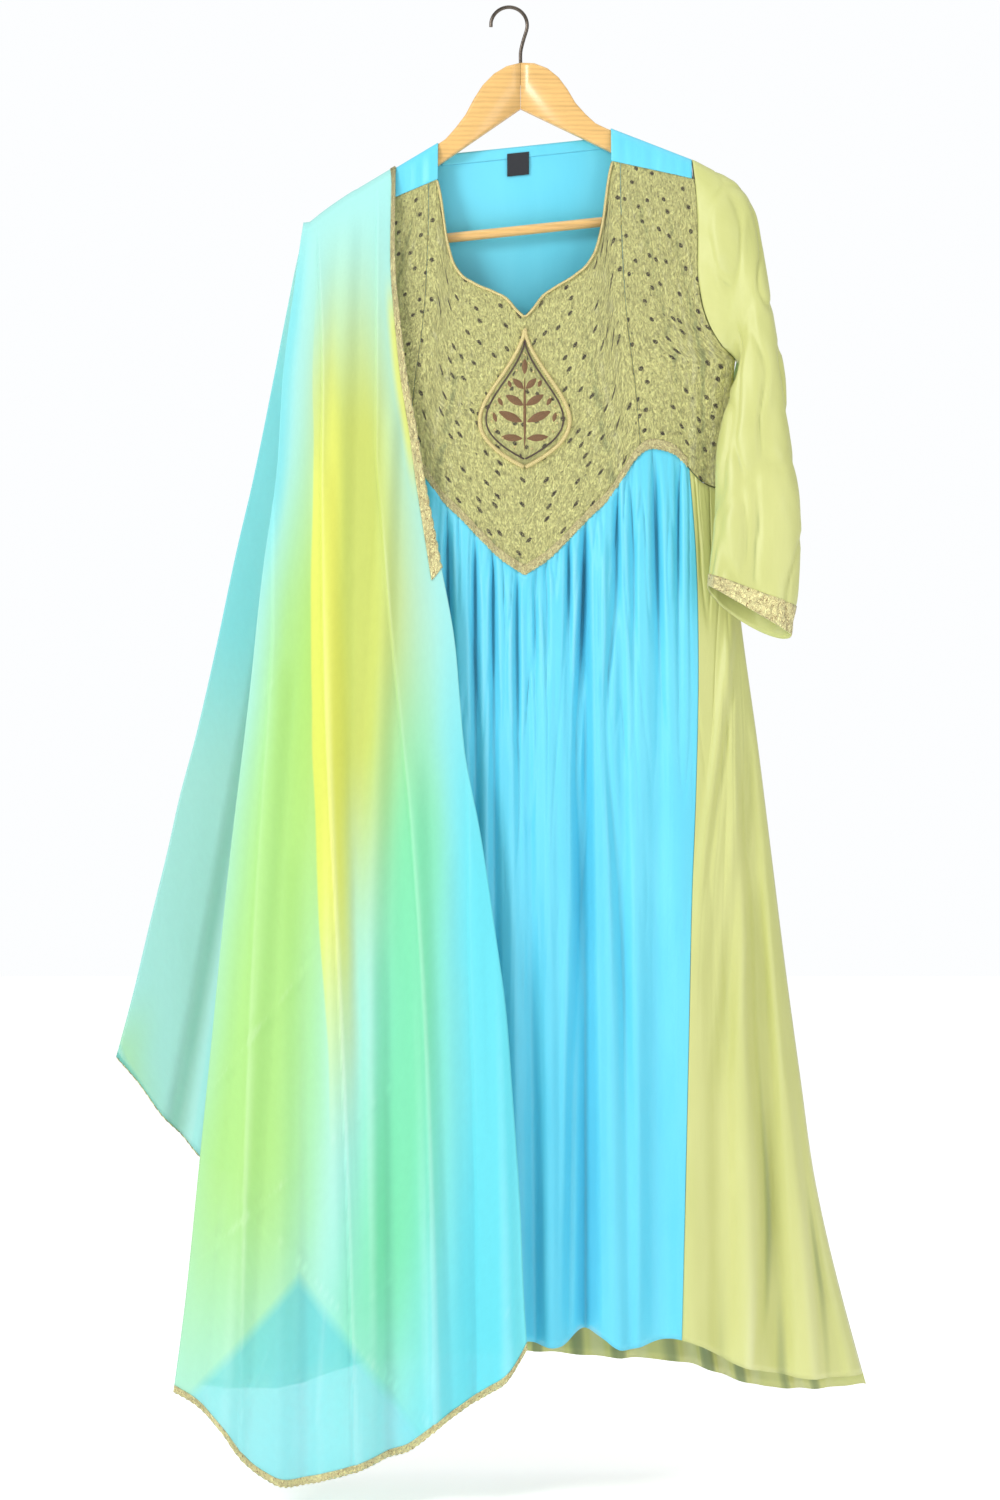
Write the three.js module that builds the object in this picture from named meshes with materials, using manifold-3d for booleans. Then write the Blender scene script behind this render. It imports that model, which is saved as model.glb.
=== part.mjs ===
// A long anarkali kurta and its dupatta on a wooden hanger, in millimetres.
// +X is the wearer's left, -Y is the front, +Z is up, and the origin is the inside top of the hook.
// Cloth is a thin wall over a surface, and every surface is worked out from the tables below.
// Most tables are in the kurta's own frame: x across from its centre line, z down from the hook.
import * as THREE from "three";
import { mergeVertices } from "three/addons/utils/BufferGeometryUtils.js";
import Module from "manifold-3d";

const wasm = await Module();
wasm.setup();

// ---------- driving sizes ----------
const KURTA_X = 17; // the kurta's centre line
const HANGER_X = -4.3; // the hanger's middle, from the kurta's centre line
const TILT = 0.105; // the hanger hangs this much lower on the wearer's right, per mm across
const TILT_FULL_Z = -230; // the shoulders follow the whole tilt above this
const TILT_NONE_Z = -470; // and the cloth hangs plumb below this
const CLOTH = 1.2; // wall of the satin and the bodice cloth
const CHIFFON = 1.0; // wall of the dupatta
const TRIM = 1.2; // wall of the lace and braid
const SEAM_GAP = 0.6; // between two panels that are sewn together
const HEM_GAP = 2.2; // between the bodice's pointed hem and the gathers below it
const LAY_GAP = 0.35; // between a piece and what it lies on
const ARMHOLE_GAP = { straight: 1, curved: 2.4, from: -335, over: 25 }; // between the armhole and the sleeve
const SIDE_Y = 0.5; // how far each side seam's edge stays from the y = 0 plane
const SIDE_FADE = 22; // folds grow over this much from a side seam
const FOLD_START = 60; // and over this much from their top
const BACK_FOLD_LENGTH = 900; // the back's gathers are at their full depth this far down

const WOOD_THICK = 12;
const WOOD_TOP_Z = -59.6;
const WOOD_BEVEL = 3;
const ARM_SLOPE = 0.494;
const MITRE_GAP = 0.3;
const BAR_RADIUS = 5.5;
const BAR_DROP = 184;
const BAR_HALF = 160;
const SOCKET_CLEAR = 0.35;

const WIRE = 2; // radius of the hook's wire
const HOOK_RADIUS = 20;
const STEM_DEEP = 26; // how far the hook's stem is sunk into the wood

const RIDGE = { x: 96, z: -140.3 }; // the shoulder line at the neck, from the hanger's middle
const NECK_X = 95;
const SHOULDER_X = 183.5;
const YOKE_FRONT = { z: -179, slope: 0.32 };
const YOKE_BACK_DROP = 9;
const BACK_NECK_Z = -149;
const UNDERARM_Z = -392;
const UNDERARM_ROUND = 12; // the armhole closes to one point over this height
const BACK_WAIST_Z = -520;

// ---------- tables ----------
// The kurta's half width at the side seam, and the half depth of its front and back.
const BODY = [
  // z, wide, front, back
  [-130, 252, 13, 11],
  [-190, 248, 16, 12],
  [-250, 244, 23, 17],
  [-320, 238, 29, 22],
  [-392, 231.5, 33, 26],
  [-440, 226, 35, 28],
  [-520, 218, 38, 31],
  [-600, 229, 42, 36],
  [-700, 241, 49, 42],
  [-800, 255, 55, 48],
  [-928, 271, 62, 54],
  [-1057, 287, 68, 59],
  [-1174, 303, 73, 64],
  [-1286, 319, 78, 68],
  [-1361, 335, 81, 71],
  [-1424, 351, 83, 73],
  [-1483, 367, 85, 75],
  [-1540, 383, 86, 76],
];
const ARMHOLE = [
  // z, x of the edge that the sleeve is sewn to
  [-150, 182.5],
  [-186, 183.8],
  [-215, 187],
  [-260, 189.5],
  [-318, 190.5],
  [-345, 196],
  [-366, 206],
  [-382, 219],
  [UNDERARM_Z, 231.5],
];
const PRINCESS = [
  // z, x of the front's princess seam
  [-170, 105],
  [-250, 106],
  [-340, 111],
  [-420, 121],
  [-500, 128],
];
const NECKLINE = [
  // x, z of the front neck edge
  [0, -341],
  [8, -333],
  [17.5, -321],
  [32, -311.5],
  [55, -299],
  [70, -286],
  [78.5, -269],
  [85, -240],
  [91, -196],
  [NECK_X, YOKE_FRONT.z],
];
const BODICE_HEM = [
  // x, z of the front bodice's pointed hem
  [0, -622],
  [28, -603],
  [48, -583],
  [71, -559],
  [93, -537],
  [109, -513],
  [120, -496],
  [134, -484.5],
  [150, -484.5],
  [166, -491],
  [180, -506],
  [190, -517],
  [219, -530],
];
const BLUE_SEAM = [
  // z, x of the seam between the blue front and its green side
  [-480, 178],
  [-520, 181.5],
  [-600, 187.5],
  [-706, 189.7],
  [-870, 186.2],
  [-978, 181.7],
  [-1140, 177.5],
  [-1302, 173.4],
  [-1470, 169],
];
const FRONT_HEM = [
  // x, z of the front hem
  [0, -1452],
  [45, -1454],
  [56, -1444],
  [80, -1447],
  [103, -1461],
  [122, -1459],
  [150, -1452],
  [170, -1452],
  [190, -1459],
  [224, -1478],
  [255, -1487],
  [290, -1496],
  [340, -1500],
  [372, -1500],
];
const BACK_HEM = [
  // x, z of the back hem
  [0, -1488],
  [90, -1494],
  [190, -1502],
  [255, -1522],
  [320, -1524],
  [358, -1518],
  [376, -1512],
];
// Folds that run down the front: where each starts and ends, its half width and its depth, top and bottom.
// A positive depth stands out and a negative one sinks in.
const FRONT_FOLDS = [
  // xTop, zTop, xLow, zLow, halfTop, halfLow, deepTop, deepLow
  [-168, -500, -156, -1500, 8, 17, -3, -9],
  [-147, -490, -137, -1500, 9, 20, 3, 9],
  [-127, -500, -110, -1500, 8, 16, -3, -10],
  [-104, -520, -90, -1500, 9, 18, 4, 9],
  [-84, -545, -70, -1500, 8, 17, -4, -15],
  [-54, -570, -50, -1500, 8, 15, -4, -6],
  [-34, -590, -30, -1500, 7, 14, -3, -10],
  [-16, -605, -8, -1500, 8, 15, 3, 5],
  [2, -620, 12, -1500, 7, 13, -4, -7],
  [24, -605, 28, -1500, 8, 17, 3, 8],
  [48, -580, 43, -1330, 7, 9, -3, 3],
  [66, -560, 66, -1500, 8, 19, -7, -33],
  [84, -545, 98, -1500, 8, 20, 4, 10],
  [101, -530, 113, -1230, 8, 12, -4, -4],
  [119, -500, 118, -1500, 8, 22, 3, 6],
  [144, -490, 146, -1500, 9, 30, -3, -10],
  [168, -500, 174, -1500, 8, 20, -2, 5],
  [233, -640, 186, -1060, 12, 20, 9, 5],
  [252, -760, 213, -1180, 12, 18, -6, -6],
  [228, -700, 246, -1510, 14, 24, 4, 13],
  [246, -760, 280, -1510, 10, 22, -5, -14],
  [262, -900, 318, -1510, 14, 22, 3, 7],
  [285, -1100, 345, -1510, 12, 18, -3, -6],
  [-233, -640, -190, -1060, 12, 20, 8, 5],
  [-226, -700, -243, -1510, 14, 26, 4, 12],
  [-246, -760, -276, -1510, 10, 22, -5, -12],
  [-262, -900, -318, -1510, 14, 22, 3, 7],
];
const BACK_FOLD_COUNT = 17; // gathers across the back skirt
const BACK_FOLD_DEEP = { top: 2.5, low: 12 };

// The sleeve's outer and inner outline, its middle in y, its half depth, and how far it bows to the body.
const SLEEVE = [
  // outX, outZ, inX, inZ, middle, deep, bow
  [215, -204, 233.5, -393.5, 0, 27, 16],
  [240, -224, 236.5, -396, 0, 29, 13],
  [253, -248, 238, -400, -2, 30, 10],
  [260, -284, 237, -407, -6, 30, 7],
  [266, -318, 233, -417, -12, 29, 4],
  [273, -352, 228, -431, -19, 28, 2],
  [281, -398, 221.5, -459, -28, 26, 0],
  [287, -454, 214, -498, -38, 24, 0],
  [294, -515, 207.5, -543, -47, 22, 0],
  [298.5, -575, 203, -586, -54, 20, 0],
  [298, -633, 200.5, -613, -59, 19, 0],
  [288, -690, 198.5, -637, -62, 19, 0],
];
const HIDDEN_SLEEVE_LEAN = 0.76; // the sleeve below the dupatta hangs closer to the body
const SLEEVE_FOLDS = { count: 3, deep: 2.2 };

// The dupatta's two falls: x of their side edges, and how far they stand off in y, by depth below the top.
const FALL_FRONT = {
  outer: [
    [-240, -234.5], [-315, -241], [-403, -260], [-524, -268], [-610, -280], [-759, -296],
    [-934, -317], [-1128, -336], [-1270, -350], [-1417, -365], [-1502, -376],
  ],
  inner: [
    [-180, -142], [-307, -140], [-354, -135], [-406, -128.5], [-470, -117], [-520, -109],
    [-609, -92], [-696, -76], [-761, -70], [-815, -65], [-901, -48.5], [-1009, -32],
    [-1084, -21.5], [-1190, -13], [-1297, -5.5], [-1403, -1], [-1455, 2.3],
  ],
  low: [
    [-376, -1500], [-351, -1515], [-336, -1529], [-318, -1549], [-308, -1565], [-295, -1580],
    [-276, -1594], [-265, -1600], [-208, -1591], [-150, -1572], [-126, -1564], [-97, -1540],
    [-63, -1518], [-41, -1504], [-17, -1485], [2.3, -1455],
  ],
  standOuter: [
    [0, 0.7], [2, 6.5], [6, 12], [14, 18], [30, 27], [60, 41], [100, 53], [170, 67], [280, 86],
    [400, 97], [700, 103], [1000, 108], [1350, 118],
  ],
  standInner: [
    [0, 0.7], [2, 6.5], [6, 12], [14, 16], [30, 20.5], [60, 26], [120, 34], [220, 43], [330, 54],
    [420, 61], [580, 75], [720, 89], [900, 102], [1110, 112], [1350, 118],
  ],
};
const FALL_BACK = {
  outer: [
    [-240, -236], [-281, -250], [-337, -265], [-397, -278], [-462, -291], [-514, -302],
    [-595, -321], [-703, -344], [-806, -368], [-865, -384], [-927, -398], [-1008, -418],
    [-1091, -438], [-1158, -456],
  ],
  inner: [
    [-180, -142], [-400, -146], [-800, -160], [-1300, -185],
  ],
  low: [
    [-456, -1158], [-430, -1189], [-407, -1222], [-386, -1245], [-361, -1273], [-320, -1290],
    [-260, -1296], [-185, -1290],
  ],
  standOuter: [
    [0, 0.7], [2, 6.5], [6, 12], [14, 18], [30, 27], [60, 38], [100, 44], [220, 50], [500, 56], [950, 66],
  ],
  standInner: [
    [0, 0.7], [2, 6.5], [6, 12], [14, 16], [30, 21], [60, 28], [150, 38], [300, 48], [450, 62],
    [700, 84], [1100, 102],
  ],
};
// How far down each fall a share of its rows lies: close together where it turns over the shoulder.
const FALL_ROWS = [
  // share of the rows, depth below the top
  [0, 0],
  [0.05, 2],
  [0.1, 6],
  [0.15, 14],
  [0.2, 32],
  [0.25, 62],
  [0.3, 110],
];
const DUPATTA_RISE = 2.6; // how far the chiffon's top lies over the shoulder line
const DUPATTA_CAP = [
  // x, z of the sleeve's cap under the dupatta, before the tilt
  [-236, -212.4],
  [-220, -201.4],
  [-203, -191.2],
  [-187, -182.8],
  [-SHOULDER_X, -181.4],
];
const FALL_FOLDS = [
  // xTop, zTop, xLow, zLow, halfTop, halfLow, deepTop, deepLow
  [-190, -215, -215, -1000, 14, 26, 3, 9],
  [-219, -480, -188, -1560, 16, 30, 5, 14],
  [-142, -420, -166, -1000, 12, 22, 4, 9],
  [-122, -800, -98, -1560, 18, 26, 4, 16],
  [-262, -700, -322, -1560, 18, 28, 4, 12],
  [-240, -900, -240, -1600, 20, 28, -3, -10],
  [-150, -1000, -140, -1590, 18, 24, -3, -9],
  [-70, -900, -52, -1530, 18, 26, -3, -10],
  [-30, -1000, -18, -1500, 14, 20, 3, 9],
];
const BACK_FALL_FOLDS = [
  [-180, -230, -250, -1290, 16, 30, 3, 12],
  [-215, -300, -330, -1290, 16, 28, -3, -10],
  [-235, -420, -385, -1270, 16, 26, 3, 10],
  [-165, -400, -205, -1290, 14, 26, -3, -9],
];

// The raised motif below the neck is a pointed drop, edged with a braid.
const MOTIF = { top: -356, low: -507, half: 49, belly: 1.7, point: 0.9, tip: 0.8 };
const MOTIF_THICK = 1;
const BRAID_RADIUS = 1.5;
const PIPING_RADIUS = 1.5;
const PIPING_LIFT = CLOTH / 2 + 1.7 * LAY_GAP + PIPING_RADIUS;
const LACE_LIFT = CLOTH / 2 + LAY_GAP + TRIM / 2; // lace lies this far off the middle of the cloth
const HEM_LACE = { half: 150, above: 8, below: 3 };
const CUFF_LACE_FROM = 0.945; // share of the sleeve's length where the cuff's lace starts
const FALL_LACE = { rows: 9, lowShare: 0.0075, lowLift: 0.8 }; // rows of the fall that the side lace runs down
const LABEL = { x: -7, top: -156, wide: 24, high: 25, thick: 0.8 };
const FACING = { half: 91, top: -149.6, low: -161.5 };
// One half of the hanger, from its middle and its arch's top: the upper edge, then the lower one.
const ARM_TOP = [
  [0, 0], [15, -2], [29.4, -9], [41.8, -20.4], [51.7, -34.7], [60.5, -50.6], [71.5, -64],
  [82.5, -75.2], [94.6, -82.2], [176, -82.2 - 81.4 * ARM_SLOPE], [182, -128], [187.5, -136], [190, -148],
];
const ARM_LOW = [
  [189, -172], [180, -190], [168, -196.5], [156, -194], [150, -184], [147, -150], [138, -131.5],
  [0, -50.8],
];

// ---------- small tools ----------
const clamp = (v, lo, hi) => Math.min(hi, Math.max(lo, v));
const lerp = (a, b, t) => a + (b - a) * t;
const smooth = (t) => {
  const c = clamp(t, 0, 1);
  return c * c * (3 - 2 * c);
};

// Reads column `col` of a table whose first column runs one way, held constant past its ends.
function read(table, at, col = 1) {
  const falling = table[0][0] > table[1][0];
  const before = (a, b) => (falling ? a >= b : a <= b);
  if (before(at, table[0][0])) return table[0][col];
  for (let i = 1; i < table.length; i++) {
    if (before(at, table[i][0])) {
      const [a, b] = [table[i - 1], table[i]];
      return lerp(a[col], b[col], (at - a[0]) / (b[0] - a[0]));
    }
  }
  return table[table.length - 1][col];
}

const tiltAt = (z) => TILT * smooth((z - TILT_NONE_Z) / (TILT_FULL_Z - TILT_NONE_Z));
// A point of the kurta's own frame, tilted with the shoulders and moved to the centre line.
const hang = ([x, y, z]) => [x + KURTA_X, y, z + x * tiltAt(z)];

function foldSum(folds, x, z) {
  let sum = 0;
  for (const [xTop, zTop, xLow, zLow, halfTop, halfLow, deepTop, deepLow] of folds) {
    const down = clamp((zTop - z) / (zTop - zLow), 0, 1);
    const across = Math.abs(x - lerp(xTop, xLow, down)) / lerp(halfTop, halfLow, down);
    if (across < 1) {
      const fadeIn = smooth((zTop - z) / FOLD_START);
      sum += lerp(deepTop, deepLow, down) * fadeIn * 0.5 * (1 + Math.cos(Math.PI * across));
    }
  }
  return sum;
}

function geometryOf(points, faces) {
  const geometry = new THREE.BufferGeometry();
  geometry.setAttribute("position", new THREE.Float32BufferAttribute(points.flat(), 3));
  let volume = 0;
  for (const [a, b, c] of faces) {
    const [p, q, r] = [points[a], points[b], points[c]];
    volume += p[0] * (q[1] * r[2] - q[2] * r[1]);
    volume += p[1] * (q[2] * r[0] - q[0] * r[2]);
    volume += p[2] * (q[0] * r[1] - q[1] * r[0]);
  }
  geometry.setIndex(faces.flatMap(([a, b, c]) => (volume < 0 ? [a, c, b] : [a, b, c])));
  return geometry;
}

// A wall over the surface point(u, v), in the kurta's frame. `lift` moves it off the surface along
// `side`, which is -1 where the outside faces the front and 1 where it faces the back.
function wall(point, { across, down, thick, side = -1, lift = 0, ring = false }) {
  const H = 1e-4;
  const columns = ring ? across : across + 1;
  const outer = [];
  const inner = [];
  for (let j = 0; j <= down; j++) {
    for (let i = 0; i < columns; i++) {
      const u = i / across;
      const v = j / down;
      const [uA, uB] = ring ? [u - H, u + H] : [Math.max(0, u - H), Math.min(1, u + H)];
      const [vA, vB] = [Math.max(0, v - H), Math.min(1, v + H)];
      const along = new THREE.Vector3(...point(uB, v)).sub(new THREE.Vector3(...point(uA, v)));
      const fall = new THREE.Vector3(...point(u, vB)).sub(new THREE.Vector3(...point(u, vA)));
      const out = along.cross(fall).normalize().multiplyScalar(side);
      const at = new THREE.Vector3(...point(u, v));
      outer.push(at.clone().addScaledVector(out, lift + thick / 2).toArray());
      inner.push(at.clone().addScaledVector(out, lift - thick / 2).toArray());
    }
  }
  const faces = [];
  const count = outer.length;
  const quad = (a, b, c, d) => faces.push([a, b, c], [a, c, d]);
  const id = (i, j) => j * columns + (i % columns);
  for (let j = 0; j < down; j++) {
    for (let i = 0; i < across; i++) {
      const [a, b, c, d] = [id(i, j), id(i + 1, j), id(i + 1, j + 1), id(i, j + 1)];
      quad(a, d, c, b);
      quad(count + a, count + b, count + c, count + d);
    }
    if (!ring) {
      quad(id(0, j), count + id(0, j), count + id(0, j + 1), id(0, j + 1));
      quad(id(across, j), id(across, j + 1), count + id(across, j + 1), count + id(across, j));
    }
  }
  for (let i = 0; i < across; i++) {
    quad(id(i, 0), id(i + 1, 0), count + id(i + 1, 0), count + id(i, 0));
    quad(id(i, down), count + id(i, down), count + id(i + 1, down), id(i + 1, down));
  }
  return geometryOf([...outer, ...inner], faces);
}

function tube(points, radius, steps, sides) {
  const path = new THREE.CatmullRomCurve3(points.map((p) => new THREE.Vector3(...p)));
  const section = new THREE.Shape();
  section.absarc(0, 0, radius, 0, 2 * Math.PI);
  return new THREE.ExtrudeGeometry(section, {
    steps,
    curveSegments: sides / 2,
    extrudePath: path,
    bevelEnabled: false,
  });
}

function solidOf(geometry) {
  const bare = geometry.index ? geometry.toNonIndexed() : geometry.clone();
  bare.deleteAttribute("normal");
  bare.deleteAttribute("uv");
  const merged = mergeVertices(bare, 1e-4);
  const triVerts = new Uint32Array(merged.index.array);
  const vertProperties = new Float32Array(merged.attributes.position.array);
  return new wasm.Manifold(new wasm.Mesh({ numProp: 3, vertProperties, triVerts }));
}

function geometryFrom(solid) {
  const mesh = solid.getMesh();
  const geometry = new THREE.BufferGeometry();
  geometry.setAttribute("position", new THREE.BufferAttribute(mesh.vertProperties, 3));
  geometry.setIndex(new THREE.BufferAttribute(mesh.triVerts, 1));
  return geometry;
}

// ---------- materials ----------
const finish = (color, roughness, metalness = 0) =>
  new THREE.MeshStandardMaterial({ color, roughness, metalness, side: THREE.DoubleSide });
const BLUE = finish(0x5accec, 0.42);
const GREEN = finish(0xc4cb86, 0.45);
const PRINT = finish(0xb9bb78, 0.85);
const LACE = finish(0xd9cf95, 0.8);
const SHEER = finish(0xa9e6bd, 0.6);
const WOOD = finish(0xe8c184, 0.45);
const STEEL = finish(0x6a625a, 0.35, 0.9);
const DARK = finish(0x14181f, 0.7);

const kurtaSet = new THREE.Group();
function add(name, geometry, material) {
  const mesh = new THREE.Mesh(geometry, material);
  mesh.name = name;
  kurtaSet.add(mesh);
}

// ---------- the kurta's surfaces ----------
const wideAt = (z) => read(BODY, z, 1);
const ridgeAt = (x) => RIDGE.z - ARM_SLOPE * (Math.abs(x - HANGER_X) - RIDGE.x);
const yokeFrontAt = (x) => YOKE_FRONT.z - YOKE_FRONT.slope * (Math.abs(x) - NECK_X);
const yokeBackAt = (x) => ridgeAt(x) - YOKE_BACK_DROP;
const princessAt = (z) => read(PRINCESS, z);
const blueSeamAt = (z) => read(BLUE_SEAM, z);
const edgeAt = (z) => (z > UNDERARM_Z ? read(ARMHOLE, z) : wideAt(z));
const roundAt = (x, z) => Math.sqrt(Math.max(0, 1 - (x / wideAt(z)) ** 2));
const frontY = (x, z) => -Math.max(SIDE_Y, read(BODY, z, 2) * roundAt(x, z) + frontRelief(x, z));
const backY = (x, z) => Math.max(SIDE_Y, read(BODY, z, 3) * roundAt(x, z) + backRelief(x, z));

// Folds die out at the side seams, where the front and the back are sewn together.
const sideFade = (x, z) => smooth((wideAt(z) - Math.abs(x)) / SIDE_FADE);
function frontRelief(x, z) {
  return foldSum(FRONT_FOLDS, x, z) * sideFade(x, z);
}
function backRelief(x, z) {
  const down = clamp((BACK_WAIST_Z - z) / BACK_FOLD_LENGTH, 0, 1);
  const deep = lerp(BACK_FOLD_DEEP.top, BACK_FOLD_DEEP.low, down) * smooth((BACK_WAIST_Z - z) / FOLD_START);
  const turn = (x / wideAt(z)) * BACK_FOLD_COUNT * Math.PI;
  return deep * 0.5 * (Math.cos(turn) + 0.4 * Math.sin(0.37 * turn)) * sideFade(x, z);
}

// The x at height z where the front or the back ends at its side seam; both are columns of BODY.
const FRONT = 2;
const BACK = 3;
const sideLimit = (z, col) => wideAt(z) * Math.sqrt(1 - (SIDE_Y / read(BODY, z, col)) ** 2);
const edgeX = (z, col) => (z > UNDERARM_Z ? edgeAt(z) : sideLimit(z, col));

// The height where the edge z = curve(x) meets the line x = lineAt(z), found by a few steps from `start`.
function crossing(curve, lineAt, start) {
  let z = start;
  for (let i = 0; i < 8; i++) z = curve(lineAt(z));
  return z;
}

const bodiceHemAt = (x) => read(BODICE_HEM, Math.abs(x));
const frontHemAt = (x) => read(FRONT_HEM, Math.abs(x));
const backHemAt = (x) => read(BACK_HEM, Math.abs(x));

// Turns (share across, share down) of a panel into a point of its surface.
function panel({ xAt, topAt, lowAt, yAt }) {
  return (u, v) => {
    const top = crossing(topAt, (z) => xAt(u, z), -400);
    const low = crossing(lowAt, (z) => xAt(u, z), -900);
    const z = lerp(top, low, v);
    const x = xAt(u, z);
    return hang([x, yAt(x, z), z]);
  };
}

const frontTopAt = (x) =>
  Math.abs(x) < NECK_X ? read(NECKLINE, Math.abs(x)) : yokeFrontAt(x) - SEAM_GAP;

const bodiceCentre = panel({
  xAt: (u, z) => (2 * u - 1) * (princessAt(z) - SEAM_GAP / 2),
  topAt: frontTopAt,
  lowAt: bodiceHemAt,
  yAt: frontY,
});
const bodiceSide = (sign) =>
  panel({
    xAt: (u, z) => sign * lerp(princessAt(z) + SEAM_GAP / 2, edgeX(z, FRONT), sign > 0 ? u : 1 - u),
    topAt: (x) => yokeFrontAt(x) - SEAM_GAP,
    lowAt: bodiceHemAt,
    yAt: frontY,
  });
const bodiceBack = panel({
  xAt: (u, z) => (2 * u - 1) * edgeX(z, BACK),
  topAt: (x) => (Math.abs(x) < NECK_X ? BACK_NECK_Z : yokeBackAt(x) - SEAM_GAP),
  lowAt: () => BACK_WAIST_Z,
  yAt: backY,
});
const skirtBlue = panel({
  xAt: (u, z) => (2 * u - 1) * (blueSeamAt(z) - SEAM_GAP / 2),
  topAt: (x) => bodiceHemAt(x) - HEM_GAP,
  lowAt: frontHemAt,
  yAt: frontY,
});
const skirtGreen = (sign) =>
  panel({
    xAt: (u, z) => sign * lerp(blueSeamAt(z) + SEAM_GAP / 2, sideLimit(z, FRONT), sign > 0 ? u : 1 - u),
    topAt: (x) => bodiceHemAt(x) - HEM_GAP,
    lowAt: frontHemAt,
    yAt: frontY,
  });
const skirtBack = panel({
  xAt: (u, z) => Math.sin((u - 0.5) * Math.PI) * sideLimit(z, BACK),
  topAt: () => BACK_WAIST_Z - SEAM_GAP,
  lowAt: backHemAt,
  yAt: backY,
});

// The yoke runs over the shoulder from the front seam to the back one, nearly flat on the hanger.
const yoke = (sign) => (u, v) => {
  const x = sign * lerp(NECK_X, SHOULDER_X, sign > 0 ? u : 1 - u);
  const front = v < 0.5;
  const seamZ = front ? yokeFrontAt(x) : yokeBackAt(x);
  const seamY = front ? frontY(x, yokeFrontAt(x)) : backY(x, yokeBackAt(x));
  const round = Math.cos(Math.abs(v - 0.5) * Math.PI - Math.PI / 2);
  return hang([x, seamY * Math.sqrt(round), lerp(ridgeAt(x), seamZ, round ** 2)]);
};

// The armhole's closed edge, from the shoulder down the front, and up the back.
function armhole(turn, sign) {
  const top = ridgeAt(sign * SHOULDER_X);
  const z = lerp(top, UNDERARM_Z, (1 - Math.cos(turn)) / 2);
  const gap = lerp(ARMHOLE_GAP.curved, ARMHOLE_GAP.straight, smooth((z - ARMHOLE_GAP.from) / ARMHOLE_GAP.over));
  const x = sign * (edgeAt(z) + gap);
  const isFront = Math.sin(turn) >= 0;
  const seamZ = isFront ? yokeFrontAt(x) : yokeBackAt(x);
  const yAt = isFront ? frontY : backY;
  const height = clamp((top - z) / (top - seamZ), 0, 1);
  const low = smooth((z - UNDERARM_Z) / UNDERARM_ROUND);
  return [x, yAt(x, Math.min(z, seamZ)) * height ** 0.25 * low, z];
}

// One sleeve: from the armhole's edge through the table's rows to the cuff.
const sleeve = (sign) => (u, v) => {
  const turn = 2 * Math.PI * (sign > 0 ? u : -u);
  const at = v * SLEEVE.length;
  const k = Math.min(SLEEVE.length - 1, Math.floor(at));
  const t = at - k;
  const rowPoint = (row) => {
    if (row < 0) return armhole(turn, sign);
    const [outX, outZ, inX, inZ, middle, deep, bow] = SLEEVE[row];
    const lean = sign > 0 ? 1 : lerp(1, HIDDEN_SLEEVE_LEAN, clamp((row + 1) / 6, 0, 1));
    const wide = SHOULDER_X + (outX - SHOULDER_X) * lean;
    const chord = Math.hypot(outX - inX, outZ - inZ);
    const c = Math.cos(turn);
    const s = Math.sin(turn);
    const ripple = SLEEVE_FOLDS.deep * Math.sin(SLEEVE_FOLDS.count * turn) * Math.min(1, row / 4);
    const x = (wide + inX) / 2 + ((wide - inX) / 2) * c - bow * s * s * ((outZ - inZ) / chord);
    const z = (outZ + inZ) / 2 + ((outZ - inZ) / 2) * c;
    return [sign * x, middle - (deep + ripple) * s, z];
  };
  const [a, b] = [rowPoint(k - 1), rowPoint(k)];
  return hang(a.map((value, axis) => lerp(value, b[axis], t)));
};

// ---------- kurta ----------
const FOLDED = { thick: CLOTH, down: 11 };
const SIDE_GRID = { across: 8, down: 14, thick: CLOTH };
add("bodice_front_centre", wall(bodiceCentre, { across: 20, down: 8, thick: CLOTH }), PRINT);
add("bodice_front_left", wall(bodiceSide(1), SIDE_GRID), PRINT);
add("bodice_front_right", wall(bodiceSide(-1), SIDE_GRID), PRINT);
add("bodice_back", wall(bodiceBack, { across: 14, down: 14, thick: CLOTH, side: 1 }), BLUE);
add("yoke_left", wall(yoke(1), { across: 4, down: 16, thick: CLOTH }), BLUE);
add("yoke_right", wall(yoke(-1), { across: 4, down: 16, thick: CLOTH }), BLUE);
add("skirt_front_centre", wall(skirtBlue, { across: 46, ...FOLDED }), BLUE);
add("skirt_front_left", wall(skirtGreen(1), { across: 12, ...FOLDED }), GREEN);
add("skirt_front_right", wall(skirtGreen(-1), { across: 12, ...FOLDED }), GREEN);
add("skirt_back", wall(skirtBack, { across: 36, down: 8, thick: CLOTH, side: 1 }), GREEN);
const SLEEVE_GRID = { across: 22, ring: true };
for (const [name, sign] of [["left", 1], ["right", -1]]) {
  add("sleeve_" + name, wall(sleeve(sign), { ...SLEEVE_GRID, down: 13, thick: CLOTH }), GREEN);
  const cuff = (u, v) => sleeve(sign)(u, lerp(CUFF_LACE_FROM, 1, v));
  add("cuff_lace_" + name, wall(cuff, { ...SLEEVE_GRID, down: 1, thick: TRIM, lift: LACE_LIFT }), LACE);
}

// ---------- trims on the front ----------
const onFront = (x, z) => hang([x, frontY(x, z), z]);
const hemLace = (u, v) => {
  const x = lerp(-HEM_LACE.half, HEM_LACE.half, u);
  return onFront(x, bodiceHemAt(x) + lerp(HEM_LACE.above, -HEM_LACE.below, v));
};
add("bodice_hem_lace", wall(hemLace, { across: 40, down: 1, thick: TRIM, lift: LACE_LIFT }), LACE);

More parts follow.
